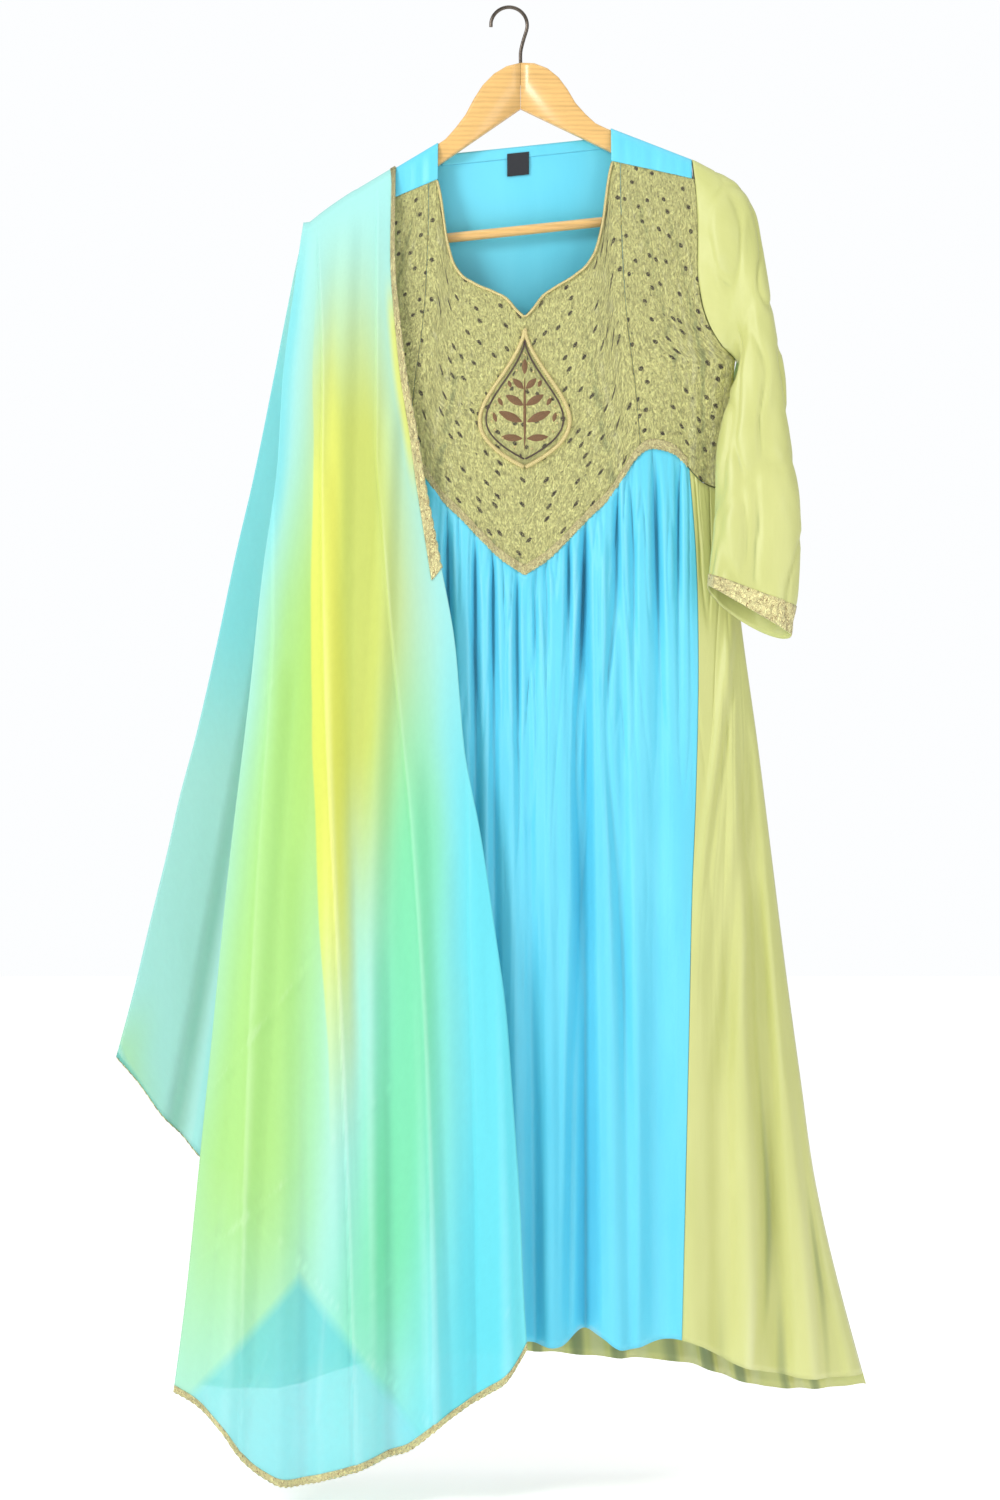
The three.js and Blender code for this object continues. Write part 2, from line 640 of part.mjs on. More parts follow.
const neckHalf = NECKLINE.slice(1).map(([x, z]) => [x + PIPING_RADIUS, z - PIPING_RADIUS]);
const neckEdge = [
  ...neckHalf.toReversed().map(([x, z]) => [-x, z]),
  [0, NECKLINE[0][1] - 2 * PIPING_RADIUS],
  ...neckHalf,
];
const piping = neckEdge.map(([x, z]) => hang([x, frontY(x, z) - PIPING_LIFT, z]));
add("neck_piping", tube(piping, PIPING_RADIUS, 36, 6), LACE);

const motifHalf = (down) => {
  const belly = Math.sin(Math.PI * down ** MOTIF.belly);
  return Math.max(MOTIF.tip, MOTIF.half * Math.max(0, belly) ** MOTIF.point);
};
const motifPoint = (u, v) => {
  const z = lerp(MOTIF.top, MOTIF.low, v);
  return onFront((2 * u - 1) * motifHalf(v), z);
};
const motifLift = CLOTH / 2 + LAY_GAP + MOTIF_THICK / 2;
const MOTIF_GRID = { across: 8, down: 16, thick: MOTIF_THICK, lift: motifLift };
add("motif", wall(motifPoint, MOTIF_GRID), PRINT);
const braidLift = motifLift + MOTIF_THICK / 2 + LAY_GAP + BRAID_RADIUS;
const braidSide = (sign, v) => {
  const z = lerp(MOTIF.top, MOTIF.low, v);
  const x = sign * Math.max(BRAID_RADIUS * 1.3, motifHalf(v) - BRAID_RADIUS);
  return hang([x, frontY(x, z) - braidLift, z]);
};
const BRAID_STEPS = 14;
const braidRun = [];
for (let i = 0; i <= 2 * BRAID_STEPS; i++) {
  const down = 1 - Math.abs(i - BRAID_STEPS) / BRAID_STEPS;
  if (down > 0) braidRun.push(braidSide(i < BRAID_STEPS ? 1 : -1, 1 - down));
}
add("motif_braid", tube(braidRun, BRAID_RADIUS, 42, 6), LACE);

// ---------- inside the back neck ----------
const onBack = (x, z) => hang([x, backY(x, z), z]);
const facing = (u, v) => onBack(lerp(-FACING.half, FACING.half, u), lerp(FACING.top, FACING.low, v));
const facingLift = -(CLOTH / 2 + LAY_GAP + TRIM / 2);
const FACING_GRID = { across: 18, down: 1, thick: TRIM, side: 1, lift: facingLift };
add("back_neck_facing", wall(facing, FACING_GRID), BLUE);
const labelPoint = (u, v) =>
  onBack(LABEL.x + (u - 0.5) * LABEL.wide, lerp(LABEL.top, LABEL.top - LABEL.high, v));
const labelLift = facingLift - TRIM / 2 - LAY_GAP - LABEL.thick / 2;
const LABEL_GRID = { across: 2, down: 2, thick: LABEL.thick, side: 1, lift: labelLift };
add("label", wall(labelPoint, LABEL_GRID), DARK);

// ---------- dupatta ----------
// One fall of the dupatta: its side edges and lower edge come from a table, and so does its stand-off.
const fall = (table, folds, front) => {
  const restAt = (x) => (x < -SHOULDER_X ? read(DUPATTA_CAP, x) : ridgeAt(x));
  const topAt = (x) => restAt(x) + DUPATTA_RISE + TILT * x;
  const xAt = (u, z) => lerp(read(table.outer, z), read(table.inner, z), u);
  return (u, v) => {
    const top = crossing(topAt, (z) => xAt(u, z), -200);
    const low = crossing((x) => read(table.low, x), (z) => xAt(u, z), -1500);
    const [lastShare, lastDeep] = FALL_ROWS[FALL_ROWS.length - 1];
    const rest = (v - lastShare) / (1 - lastShare);
    const deep = rest < 0 ? read(FALL_ROWS, v) : lerp(lastDeep, top - low, rest);
    const z = top - deep;
    const x = xAt(u, z);
    const stand = lerp(read(table.standOuter, deep), read(table.standInner, deep), u);
    const y = stand + foldSum(folds, x, z);
    return [x + KURTA_X, front ? -y : y, z];
  };
};
const frontFall = fall(FALL_FRONT, FALL_FOLDS, true);
const backFall = fall(FALL_BACK, BACK_FALL_FOLDS, false);
const FALL_GRID = { across: 20, down: 20, thick: CHIFFON };
const BACK_FALL_GRID = { across: 12, down: 20, thick: CHIFFON, side: 1 };
add("dupatta_front", wall(frontFall, FALL_GRID), SHEER);
add("dupatta_back", wall(backFall, BACK_FALL_GRID), SHEER);

// The dupatta's lace: down the inner edge of the front fall, and along both lower edges.
const fallLift = CHIFFON / 2 + LAY_GAP + TRIM / 2;
const sideLace = (u, v) => {
  const rowsFrom = 1 / FALL_GRID.down;
  return frontFall(1 - (2 / FALL_GRID.across) * (1 - u), lerp(rowsFrom, FALL_LACE.rows * rowsFrom, v));
};
const SIDE_LACE_GRID = { across: 2, down: FALL_LACE.rows - 1, thick: TRIM, lift: fallLift };
add("dupatta_lace_side", wall(sideLace, SIDE_LACE_GRID), LACE);
const lowLace = (surface) => (u, v) => surface(u, 1 - FALL_LACE.lowShare * (1 - v));
const LOW_GRID = { down: 1, thick: TRIM, lift: fallLift + FALL_LACE.lowLift };
add("dupatta_lace_front", wall(lowLace(frontFall), { ...LOW_GRID, across: FALL_GRID.across }), LACE);
const BACK_LACE_GRID = { ...LOW_GRID, across: BACK_FALL_GRID.across, side: 1 };
add("dupatta_lace_back", wall(lowLace(backFall), BACK_LACE_GRID), LACE);

// ---------- hanger ----------
// The wood leans as the shoulders do, about the top of its arch.
const hanger = new THREE.Group();
hanger.position.set(KURTA_X + HANGER_X, 0, WOOD_TOP_Z);
const shear = new THREE.Matrix4().makeShear(0, TILT, 0, 0, 0, 0);
const wooden = (geometry) => geometry.applyMatrix4(shear);

function armSolid(sign) {
  const outline = [...ARM_TOP, ...ARM_LOW].map(([x, z]) => {
    const inside = x === 0 ? MITRE_GAP / 2 : x;
    return new THREE.Vector2(sign * inside, z);
  });
  const blank = new THREE.ExtrudeGeometry(new THREE.Shape(outline), {
    depth: WOOD_THICK - 2 * WOOD_BEVEL,
    bevelThickness: WOOD_BEVEL,
    bevelSize: WOOD_BEVEL,
    bevelOffset: -WOOD_BEVEL,
    bevelSegments: 1,
  });
  blank.translate(0, 0, -(WOOD_THICK / 2 - WOOD_BEVEL));
  blank.rotateX(Math.PI / 2);
  const socket = new THREE.CylinderGeometry(
    BAR_RADIUS + SOCKET_CLEAR, BAR_RADIUS + SOCKET_CLEAR, 2 * (BAR_HALF + SOCKET_CLEAR), 16);
  socket.rotateZ(Math.PI / 2);
  socket.translate(0, 0, -BAR_DROP);
  const bore = new THREE.CylinderGeometry(
    WIRE + SOCKET_CLEAR, WIRE + SOCKET_CLEAR, 2 * (STEM_DEEP + SOCKET_CLEAR), 12);
  bore.rotateX(Math.PI / 2);
  return solidOf(blank).subtract(solidOf(socket)).subtract(solidOf(bore));
}
function addWood(name, geometry) {
  const mesh = new THREE.Mesh(wooden(geometry), WOOD);
  mesh.name = name;
  hanger.add(mesh);
}
addWood("hanger_arm_left", geometryFrom(armSolid(1)));
addWood("hanger_arm_right", geometryFrom(armSolid(-1)));
const bar = new THREE.CylinderGeometry(BAR_RADIUS, BAR_RADIUS, 2 * BAR_HALF, 16);
bar.rotateZ(Math.PI / 2);
bar.translate(0, 0, -BAR_DROP);
addWood("hanger_bar", bar);
kurtaSet.add(hanger);

const stemX = KURTA_X + HANGER_X;
const hookArc = [];
for (let turn = -15; turn <= 185; turn += 20) {
  const angle = THREE.MathUtils.degToRad(turn);
  hookArc.push([HOOK_RADIUS * Math.cos(angle), 0, WIRE - HOOK_RADIUS + HOOK_RADIUS * Math.sin(angle)]);
}
const hookRun = [
  [stemX, 0, WOOD_TOP_Z - STEM_DEEP],
  [stemX, 0, WOOD_TOP_Z],
  [stemX + 0.2, 0, -47],
  [stemX + 3, 0, -35],
  ...hookArc,
];
add("hanger_hook", tube(hookRun, WIRE, 36, 8), STEEL);

export default kurtaSet;
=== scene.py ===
import math
from bisect import bisect

import bmesh
import bpy
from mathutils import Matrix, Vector, noise


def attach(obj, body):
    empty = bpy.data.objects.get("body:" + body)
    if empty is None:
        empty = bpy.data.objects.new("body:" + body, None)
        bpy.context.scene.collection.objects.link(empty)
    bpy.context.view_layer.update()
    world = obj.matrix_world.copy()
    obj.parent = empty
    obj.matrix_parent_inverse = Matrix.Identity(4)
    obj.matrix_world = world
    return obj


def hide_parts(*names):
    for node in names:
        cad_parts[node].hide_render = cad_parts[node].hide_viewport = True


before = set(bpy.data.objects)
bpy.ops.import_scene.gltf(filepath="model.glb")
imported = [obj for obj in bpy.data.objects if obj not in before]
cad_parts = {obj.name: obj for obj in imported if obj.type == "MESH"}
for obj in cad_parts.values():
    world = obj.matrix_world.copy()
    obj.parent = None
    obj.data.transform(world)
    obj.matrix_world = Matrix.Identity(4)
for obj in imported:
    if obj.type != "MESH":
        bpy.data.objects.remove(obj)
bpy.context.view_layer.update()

bl_info = {
    "name": "Kurta set on a hanger",
    "version": (1, 0, 0),
    "blender": (4, 5, 0),
    "location": "View3D > Sidebar > Kurta set",
    "description": "Dresses the packed kurta, dupatta and hanger in their cloth, trims, wood and steel",
    "category": "Object",
}

MM = 0.001

# ---------- sizes, in millimetres, in the kurta's own frame ----------
# x runs across from the kurta's centre line, and z down from the inside top of the hook.
KURTA_X = 17.0
HANGER_X = -4.3  # the hanger's middle, from the kurta's centre line
TILT = 0.105  # the shoulders drop this much per millimetre towards the wearer's right
TILT_FULL_Z = -230.0
TILT_NONE_Z = -470.0
SEAM_GAP = 0.4
HEM_GAP = 1.6
SIDE_Y = 0.5
SIDE_FADE = 22.0
FOLD_START = 60.0
RIDGE_X, RIDGE_Z = 96.0, -140.3
ARM_SLOPE = 0.494
NECK_X = 95.0
SHOULDER_X = 183.5
YOKE_Z, YOKE_SLOPE, YOKE_BACK_DROP = -179.0, 0.32, 9.0
BACK_NECK_Z = -149.0
UNDERARM_Z = -392.0
BACK_WAIST_Z = -520.0
CLOTH = 0.9
CHIFFON = 0.7
TRIM = 0.6  # thickness of the lace, the label and the motif's face
SCALLOP_LENGTH = 6.5
CUFF_LACE_FROM = 0.955  # share of the sleeve's length where the cuff's lace starts
PIPING_RADIUS, BRAID_RADIUS, STITCH_RADIUS, BEAD_RADIUS, WIRE_RADIUS = 1.35, 2.3, 1.0, 1.3, 2.0
LIFT = 0.95  # how far a trim's middle lies off the middle of the cloth below it


class Table:
    """A short table of sizes, read smoothly between its rows and held past its ends."""

    def __init__(self, *rows):
        rows = sorted(rows)
        self.keys = [row[0] for row in rows]
        self.columns = [list(column) for column in zip(*rows)]
        self.slopes = [self._slopes(column) for column in self.columns]

    def _slopes(self, column):
        keys, last = self.keys, len(self.keys) - 1
        steps = [(column[i + 1] - column[i]) / (keys[i + 1] - keys[i]) for i in range(last)]
        slopes = [steps[0]]
        for i in range(1, last):
            a, b = keys[i] - keys[i - 1], keys[i + 1] - keys[i]
            slopes.append((steps[i - 1] * b + steps[i] * a) / (a + b))
        return slopes + [steps[-1]]

    def __call__(self, at, column=1):
        keys, values = self.keys, self.columns[column]
        if at <= keys[0]:
            return values[0]
        if at >= keys[-1]:
            return values[-1]
        i = bisect(keys, at)
        h = keys[i] - keys[i - 1]
        t = (at - keys[i - 1]) / h
        a, b = self.slopes[column][i - 1] * h, self.slopes[column][i] * h
        t2, t3 = t * t, t * t * t
        from_left = (2 * t3 - 3 * t2 + 1) * values[i - 1] + (t3 - 2 * t2 + t) * a
        return from_left + (3 * t2 - 2 * t3) * values[i] + (t3 - t2) * b


# z, half width at the side seam, half depth of the front and of the back
BODY = Table(
    (-130, 252, 13, 11), (-190, 248, 16, 12), (-250, 244, 23, 17), (-320, 238, 29, 22),
    (-392, 231.5, 33, 26), (-440, 226, 35, 28), (-520, 218, 38, 31), (-600, 229, 42, 36),
    (-700, 241, 49, 42), (-800, 255, 55, 48), (-928, 271, 62, 54), (-1057, 287, 68, 59),
    (-1174, 303, 73, 64), (-1286, 319, 78, 68), (-1361, 335, 81, 71), (-1424, 351, 83, 73),
    (-1483, 367, 85, 75), (-1540, 383, 86, 76),
)
ARMHOLE = Table(
    (-150, 182.5), (-186, 183.8), (-215, 187), (-260, 189.5), (-318, 190.5), (-345, 196),
    (-366, 206), (-382, 219), (-392, 231.5),
)
PRINCESS = Table((-170, 105), (-250, 106), (-340, 111), (-420, 121), (-500, 128))
NECKLINE = Table(
    (0, -341), (8, -333), (17.5, -321), (32, -311.5), (55, -299), (70, -286), (78.5, -269),
    (85, -240), (91, -196), (95, -179),
)
BODICE_HEM = Table(
    (0, -622), (28, -603), (48, -583), (71, -559), (93, -537), (109, -513), (120, -496),
    (134, -484.5), (150, -484.5), (166, -491), (180, -506), (190, -517), (219, -530),
)
BLUE_SEAM = Table(
    (-480, 178), (-520, 181.5), (-600, 187.5), (-706, 189.7), (-870, 186.2), (-978, 181.7),
    (-1140, 177.5), (-1302, 173.4), (-1470, 169),
)
FRONT_HEM = Table(
    (0, -1452), (45, -1454), (56, -1444), (80, -1447), (103, -1461), (122, -1459), (150, -1452),
    (170, -1452), (190, -1459), (224, -1478), (255, -1487), (290, -1496), (340, -1500), (372, -1500),
)
BACK_HEM = Table(
    (0, -1488), (90, -1494), (190, -1502), (255, -1522), (320, -1524), (358, -1518), (376, -1512),
)
# Folds that run down the cloth: x and z of the top, x and z of the low end, half width at the top
# and low end, and depth there. A positive depth stands out and a negative one sinks in.
FRONT_FOLDS = (
    (-168, -500, -156, -1500, 8, 17, -3, -9), (-147, -490, -137, -1500, 9, 20, 3, 9),
    (-127, -500, -110, -1500, 8, 16, -3, -10), (-104, -520, -90, -1500, 9, 18, 4, 9),
    (-84, -545, -70, -1500, 8, 17, -4, -15), (-54, -570, -50, -1500, 8, 15, -4, -6),
    (-34, -590, -30, -1500, 7, 14, -3, -10), (-16, -605, -8, -1500, 8, 15, 3, 5),
    (2, -620, 12, -1500, 7, 13, -4, -7), (24, -605, 28, -1500, 8, 17, 3, 8),
    (48, -580, 43, -1330, 7, 9, -3, 3), (66, -560, 66, -1500, 8, 19, -7, -33),
    (84, -545, 98, -1500, 8, 20, 4, 10), (101, -530, 113, -1230, 8, 12, -4, -4),
    (119, -500, 118, -1500, 8, 22, 3, 6), (144, -490, 146, -1500, 9, 30, -3, -10),
    (168, -500, 174, -1500, 8, 20, -2, 5), (233, -640, 186, -1060, 12, 20, 9, 5),
    (252, -760, 213, -1180, 12, 18, -6, -6), (228, -700, 246, -1510, 14, 24, 4, 13),
    (246, -760, 280, -1510, 10, 22, -5, -14), (262, -900, 318, -1510, 14, 22, 3, 7),
    (285, -1100, 345, -1510, 12, 18, -3, -6), (-233, -640, -190, -1060, 12, 20, 8, 5),
    (-226, -700, -243, -1510, 14, 26, 4, 12), (-246, -760, -276, -1510, 10, 22, -5, -12),
    (-262, -900, -318, -1510, 14, 22, 3, 7),
)
BACK_FOLD_COUNT = 17
BACK_FOLD_TOP, BACK_FOLD_LOW = 2.5, 12.0
BACK_FOLD_LENGTH = 900.0
# the sleeve's rows: outer x and z, inner x and z, middle y, half depth, bow towards the body
SLEEVE = (
    (215, -204, 233.5, -393.5, 0, 27, 16), (240, -224, 236.5, -396, 0, 29, 13),
    (253, -248, 238, -400, -2, 30, 10), (260, -284, 237, -407, -6, 30, 7),
    (266, -318, 229.5, -417, -12, 29, 4), (273, -352, 222.5, -431, -19, 28, 2),
    (281, -398, 216, -459, -28, 26, 0), (287, -454, 209.5, -498, -38, 24, 0),
    (294, -515, 207.5, -543, -47, 22, 0), (298.5, -575, 203, -586, -54, 20, 0),
    (298, -633, 200.5, -613, -59, 19, 0), (288, -690, 198.5, -637, -62, 19, 0),
)
HIDDEN_SLEEVE_LEAN = 0.76
SLEEVE_CREASE = 2.4
CUFF_DROP = 16.0  # the cuff's back edge hangs lower than its front
# The materials paint shade into the valleys of folds and a highlight onto their ridges, more of both for deeper folds.
FOLD_SHADE = 0.25  # how fast the shading grows with a fold's depth

# the dupatta's falls: side edges by height, low edge across, and stand-off from the body by depth
FRONT_FALL = {
    "outer": Table(
        (-240, -243), (-315, -251), (-403, -261), (-524, -268), (-610, -280), (-759, -296),
        (-934, -317), (-1128, -336), (-1270, -350), (-1417, -365), (-1502, -376),
    ),
    "inner": Table(
        (-180, -142), (-307, -140), (-354, -135), (-406, -128.5), (-470, -117), (-520, -109),
        (-609, -92), (-696, -76), (-761, -70), (-815, -65), (-901, -48.5), (-1009, -32),
        (-1084, -21.5), (-1190, -13), (-1297, -5.5), (-1403, -1), (-1455, 2.3),
    ),
    "low": Table(
        (-376, -1500), (-351, -1515), (-336, -1529), (-318, -1549), (-308, -1565), (-295, -1580),
        (-276, -1594), (-265, -1600), (-208, -1591), (-150, -1572), (-126, -1564), (-97, -1540),
        (-63, -1518), (-41, -1504), (-17, -1485), (2.3, -1455),
    ),
    "stand_outer": Table(
        (0, 0.7), (2, 6.5), (6, 12), (14, 18), (30, 27), (60, 41), (100, 53), (170, 67), (280, 86),
        (400, 97), (700, 103), (1000, 108), (1350, 118),
    ),
    "stand_inner": Table(
        (0, 0.7), (2, 6.5), (6, 12), (14, 16), (30, 20.5), (60, 26), (120, 34), (220, 43), (330, 54),
        (420, 61), (580, 75), (720, 89), (900, 102), (1110, 112), (1350, 118),
    ),
    "folds": (
        (-190, -215, -215, -1000, 14, 26, 3, 9), (-219, -480, -188, -1560, 16, 30, 5, 14),
        (-142, -420, -166, -1000, 12, 22, 4, 9), (-122, -800, -98, -1560, 18, 26, 4, 16),
        (-262, -700, -322, -1560, 18, 28, 4, 12), (-240, -900, -240, -1600, 20, 28, -3, -10),
        (-150, -1000, -140, -1590, 18, 24, -3, -9), (-70, -900, -52, -1530, 18, 26, -3, -10),
        (-30, -1000, -18, -1500, 14, 20, 3, 9),
    ),
}
BACK_FALL = {
    "outer": Table(
        (-240, -243), (-281, -254), (-337, -266), (-397, -278), (-462, -291), (-514, -302),
        (-595, -321), (-703, -344), (-806, -368), (-865, -384), (-927, -398), (-1008, -418),
        (-1091, -438), (-1158, -456),
    ),
    "inner": Table((-180, -142), (-400, -146), (-800, -160), (-1300, -185)),
    "low": Table(
        (-456, -1158), (-430, -1189), (-407, -1222), (-386, -1245), (-361, -1273), (-320, -1290),
        (-260, -1296), (-185, -1290),
    ),
    "stand_outer": Table(
        (0, 0.7), (2, 6.5), (6, 12), (14, 18), (30, 27), (60, 38), (100, 44), (220, 50), (500, 56), (950, 66),
    ),
    "stand_inner": Table(
        (0, 0.7), (2, 6.5), (6, 12), (14, 16), (30, 21), (60, 28), (150, 38), (300, 48), (450, 62),
        (700, 84), (1100, 102),
    ),
    "folds": (
        (-180, -230, -250, -1290, 16, 30, 3, 12), (-215, -300, -330, -1290, 16, 28, -3, -10),
        (-235, -420, -385, -1270, 16, 26, 3, 10), (-165, -400, -205, -1290, 14, 26, -3, -9),
    ),
}
FALL_ROWS = Table((0, 0), (0.05, 2), (0.1, 6), (0.15, 14), (0.2, 32), (0.25, 62), (0.3, 110))
FALL_RISE = 2.6
FALL_CAP = Table((-236, -212.4), (-220, -201.4), (-203, -191.2), (-187, -182.8), (-183.5, -181.4))
# The raised motif below the neck is a pointed drop.
MOTIF_TOP, MOTIF_LOW, MOTIF_HALF = -356.0, -507.0, 49.0


# ---------- shapes ----------
def clamp(value, low, high):
    return max(low, min(high, value))


def lerp(a, b, t):
    return a + (b - a) * t


def smooth(t):
    t = clamp(t, 0.0, 1.0)
    return t * t * (3 - 2 * t)


def spline(before, a, b, after, t):
    """The point a share t of the way from a to b, on a smooth curve through all four."""
    p = a * (2 - 5 * t * t + 3 * t**3) + b * (t + 4 * t * t - 3 * t**3)
    return (p + before * (-t + 2 * t * t - t**3) + after * (-t * t + t**3)) / 2


def tilt_at(z):
    return TILT * smooth((z - TILT_NONE_Z) / (TILT_FULL_Z - TILT_NONE_Z))


def hang(x, y, z):
    """A point of the kurta's own frame, in metres, dropped with the shoulders."""
    return Vector(((x + KURTA_X) * MM, y * MM, (z + x * tilt_at(z)) * MM))


def rough(x, y, z, scale):
    """A soft random value from -1 to 1 that changes over `scale` millimetres."""
    return noise.noise(Vector((x / scale, y / scale, z / scale)))


# Narrow creases, row by row: z, x, half width and depth there.
FRONT_CREASES = tuple(Table(*rows) for rows in (
    ((-545, -84, 4, 0), (-590, -84, 5, -5), (-900, -82, 6, -4), (-1250, -78, 8, 0)),
    ((-560, -54, 4, 0), (-600, -54, 4.5, -6), (-850, -53, 6, -3), (-1050, -52, 7, 0)),
    ((-580, -34, 4, 0), (-615, -34.5, 4, -5), (-800, -33, 5, -2.5), (-980, -33, 5, 0)),
    ((-600, -8, 4, 0), (-635, -8.5, 5, -6), (-860, -7, 6, -3.5), (-1100, -6, 8, 0)),
    ((-608, 11, 4, 0), (-640, 11, 4, -4.5), (-760, 12, 4, -2), (-880, 13, 5, 0)),
    ((-590, 24, 4, 0), (-625, 24, 4, -5), (-780, 25, 5, -2), (-920, 26, 5, 0)),
    ((-570, 47, 4, 0), (-605, 48, 4, -5), (-700, 47, 5, -3), (-860, 46, 5, 0)),
    ((-550, 66, 4, 0), (-600, 65, 5, -9), (-833, 55.5, 6, -11), (-943, 57.5, 7, -13), (-1217, 51, 8, -13),
     (-1444, 48, 9, -10), (-1480, 48, 9, -8)),
    ((-512, 102, 4, 0), (-560, 101, 5, -7), (-652, 98, 6, -7), (-761, 89, 6, -7), (-950, 99, 7, -5),
     (-1080, 107, 7, -3), (-1250, 112, 8, 0)),
    ((-490, 118, 4, 0), (-530, 118, 5, -5), (-800, 119, 6, -2.5), (-980, 119, 7, 0)),
    ((-480, 143, 4, 0), (-520, 143, 5, -5), (-750, 149, 6, -3), (-1000, 150, 7, 0)),
    ((-485, 168, 4, 0), (-525, 168, 4, -4), (-700, 169, 5, -3), (-900, 170, 5, 0)),
    ((-640, 240, 5, 0), (-706, 232, 6, -5), (-820, 217, 7, -7), (-917, 204, 7, -6), (-1010, 196, 8, 0)),
    ((-740, 234, 5, 0), (-827, 236, 6, -5), (-958, 245, 7, -7), (-1117, 250.5, 9, -8),
     (-1353, 263.5, 10, -9), (-1484, 254, 11, -7), (-1520, 250, 11, -6)),
    ((-1120, 300, 7, 0), (-1250, 308, 8, -5), (-1520, 330, 10, -7), (-1560, 332, 10, -7)),
    ((-520, -110, 4, 0), (-560, -110, 5, -6), (-800, -104, 6, -4), (-1200, -98, 8, 0)),
    ((-500, -139, 4, 0), (-540, -139, 5, -5), (-850, -141, 7, -4), (-1100, -140, 8, 0)),
    ((-490, -163, 4, 0), (-530, -163, 5, -4), (-760, -165, 6, -3), (-1000, -164, 7, 0)),
    ((-660, -238, 5, 0), (-760, -226, 6, -5), (-900, -206, 7, -6), (-1010, -196, 8, 0)),
    ((-760, -234, 5, 0), (-900, -242, 7, -6), (-1150, -252, 9, -8), (-1500, -262, 11, -7),
     (-1540, -262, 11, -7)),
))
BACK_CREASES = tuple(Table(*rows) for rows in (
    ((-530, -150, 5, 0), (-600, -150, 6, -5), (-1000, -170, 8, -6), (-1540, -196, 12, -8)),
    ((-530, -88, 5, 0), (-590, -88, 5, -6), (-900, -92, 7, -5), (-1300, -100, 9, 0)),
    ((-530, -34, 5, 0), (-590, -33, 5, -5), (-1050, -28, 8, -6), (-1540, -24, 12, -9)),
    ((-530, 26, 5, 0), (-600, 27, 5, -6), (-820, 33, 6, -4), (-1120, 36, 8, 0)),
    ((-530, 79, 5, 0), (-600, 80, 6, -5), (-1100, 96, 8, -7), (-1540, 110, 12, -9)),
    ((-530, 143, 5, 0), (-600, 144, 6, -5), (-950, 158, 8, -5), (-1320, 172, 9, 0)),
    ((-620, 206, 6, 0), (-800, 218, 7, -5), (-1200, 244, 9, -7), (-1540, 270, 12, -8)),
    ((-640, -208, 6, 0), (-850, -222, 7, -5), (-1200, -246, 9, -6), (-1540, -274, 12, -8)),
))


def fold_sum(folds, x, z):
    """Soft folds, each a row of the tables above, added up at one point."""
    total = 0.0
    for x_top, z_top, x_low, z_low, half_top, half_low, deep_top, deep_low in folds:
        down = clamp((z_top - z) / (z_top - z_low), 0.0, 1.0)
        across = abs(x - lerp(x_top, x_low, down)) / lerp(half_top, half_low, down)
        if across < 1.0 and z < z_top:
            height = 0.5 + 0.5 * math.cos(math.pi * across)
            total += lerp(deep_top, deep_low, down) * smooth((z_top - z) / FOLD_START) * height
    return total


def crease_sum(creases, x, z):
    """Narrow creases, each a table of heights with its x, half width and depth there."""
    total = 0.0
    for crease in creases:
        if crease.keys[0] < z < crease.keys[-1]:
            half = crease(z, 2)
            off = abs(x - crease(z, 1)) / half
            if off < 2.2:
                total += crease(z, 3) * math.exp(-1.6 * off * off)
    return total


def wide_at(z):
    return BODY(z, 1)


def ridge_at(x):
    return RIDGE_Z - ARM_SLOPE * (abs(x - HANGER_X) - RIDGE_X)


def yoke_front_at(x):
    return YOKE_Z - YOKE_SLOPE * (abs(x) - NECK_X)


def yoke_back_at(x):
    return ridge_at(x) - YOKE_BACK_DROP


def side_limit(z, column):
    return wide_at(z) * math.sqrt(1 - (SIDE_Y / BODY(z, column)) ** 2)


def edge_x(z, column):
    return ARMHOLE(z) if z > UNDERARM_Z else side_limit(z, column)


def side_fade(x, z):
    return smooth((wide_at(z) - abs(x)) / SIDE_FADE)


def round_at(x, z):
    return math.sqrt(max(0.0, 1 - (x / wide_at(z)) ** 2))


def gathers(x, z, top):
    """Small uneven gathers that start in a seam at `top` and open into the folds below it."""
    down = top - z
    if down < 0:
        return 0.0
    wide = rough(x, 0, z * 0.06, 12)
    small = rough(x, 4, z * 0.1, 6)
    reach = 0.45 + 0.55 * rough(x, 7, 0, 34)
    near = smooth(down / 5) * math.exp(-down / (190 + 150 * reach))
    lines = 1.6 * wide - 2.6 * math.exp(-((wide / 0.09) ** 2))
    return near * (lines + (0.9 * small - 0.8 * math.exp(-((small / 0.15) ** 2))) * math.exp(-down / 90))


def front_relief(x, z):
    hem = BODICE_HEM(abs(x))
    total = fold_sum(FRONT_FOLDS, x, z) + crease_sum(FRONT_CREASES, x, z)
    if z < hem:
        total += gathers(x, z, hem)
        total += 0.9 * rough(x, 3, z * 0.16, 26) * smooth((hem - z) / 200)
    return total * side_fade(x, z)


def back_relief(x, z):
    down = clamp((BACK_WAIST_Z - z) / BACK_FOLD_LENGTH, 0, 1)
    deep = lerp(BACK_FOLD_TOP, BACK_FOLD_LOW, down) * smooth((BACK_WAIST_Z - z) / FOLD_START)
    share = x / wide_at(z)
    turn = share * BACK_FOLD_COUNT * math.pi + 1.3 * math.sin(9 * share) + 0.8 * math.sin(21 * share + 1)
    deep *= 0.72 + 0.28 * math.sin(13 * share + 2.0 * math.sin(5 * share))
    total = deep * 0.5 * (math.cos(turn) + 0.4 * math.sin(0.37 * turn))
    total += crease_sum(BACK_CREASES, x, z)
    total += gathers(x, z, BACK_WAIST_Z) + 0.9 * rough(x, -3, z * 0.16, 26) * smooth((BACK_WAIST_Z - z) / 200)
    return total * side_fade(x, z)


def front_y(x, z):
    return -max(SIDE_Y, BODY(z, 2) * round_at(x, z) + front_relief(x, z))


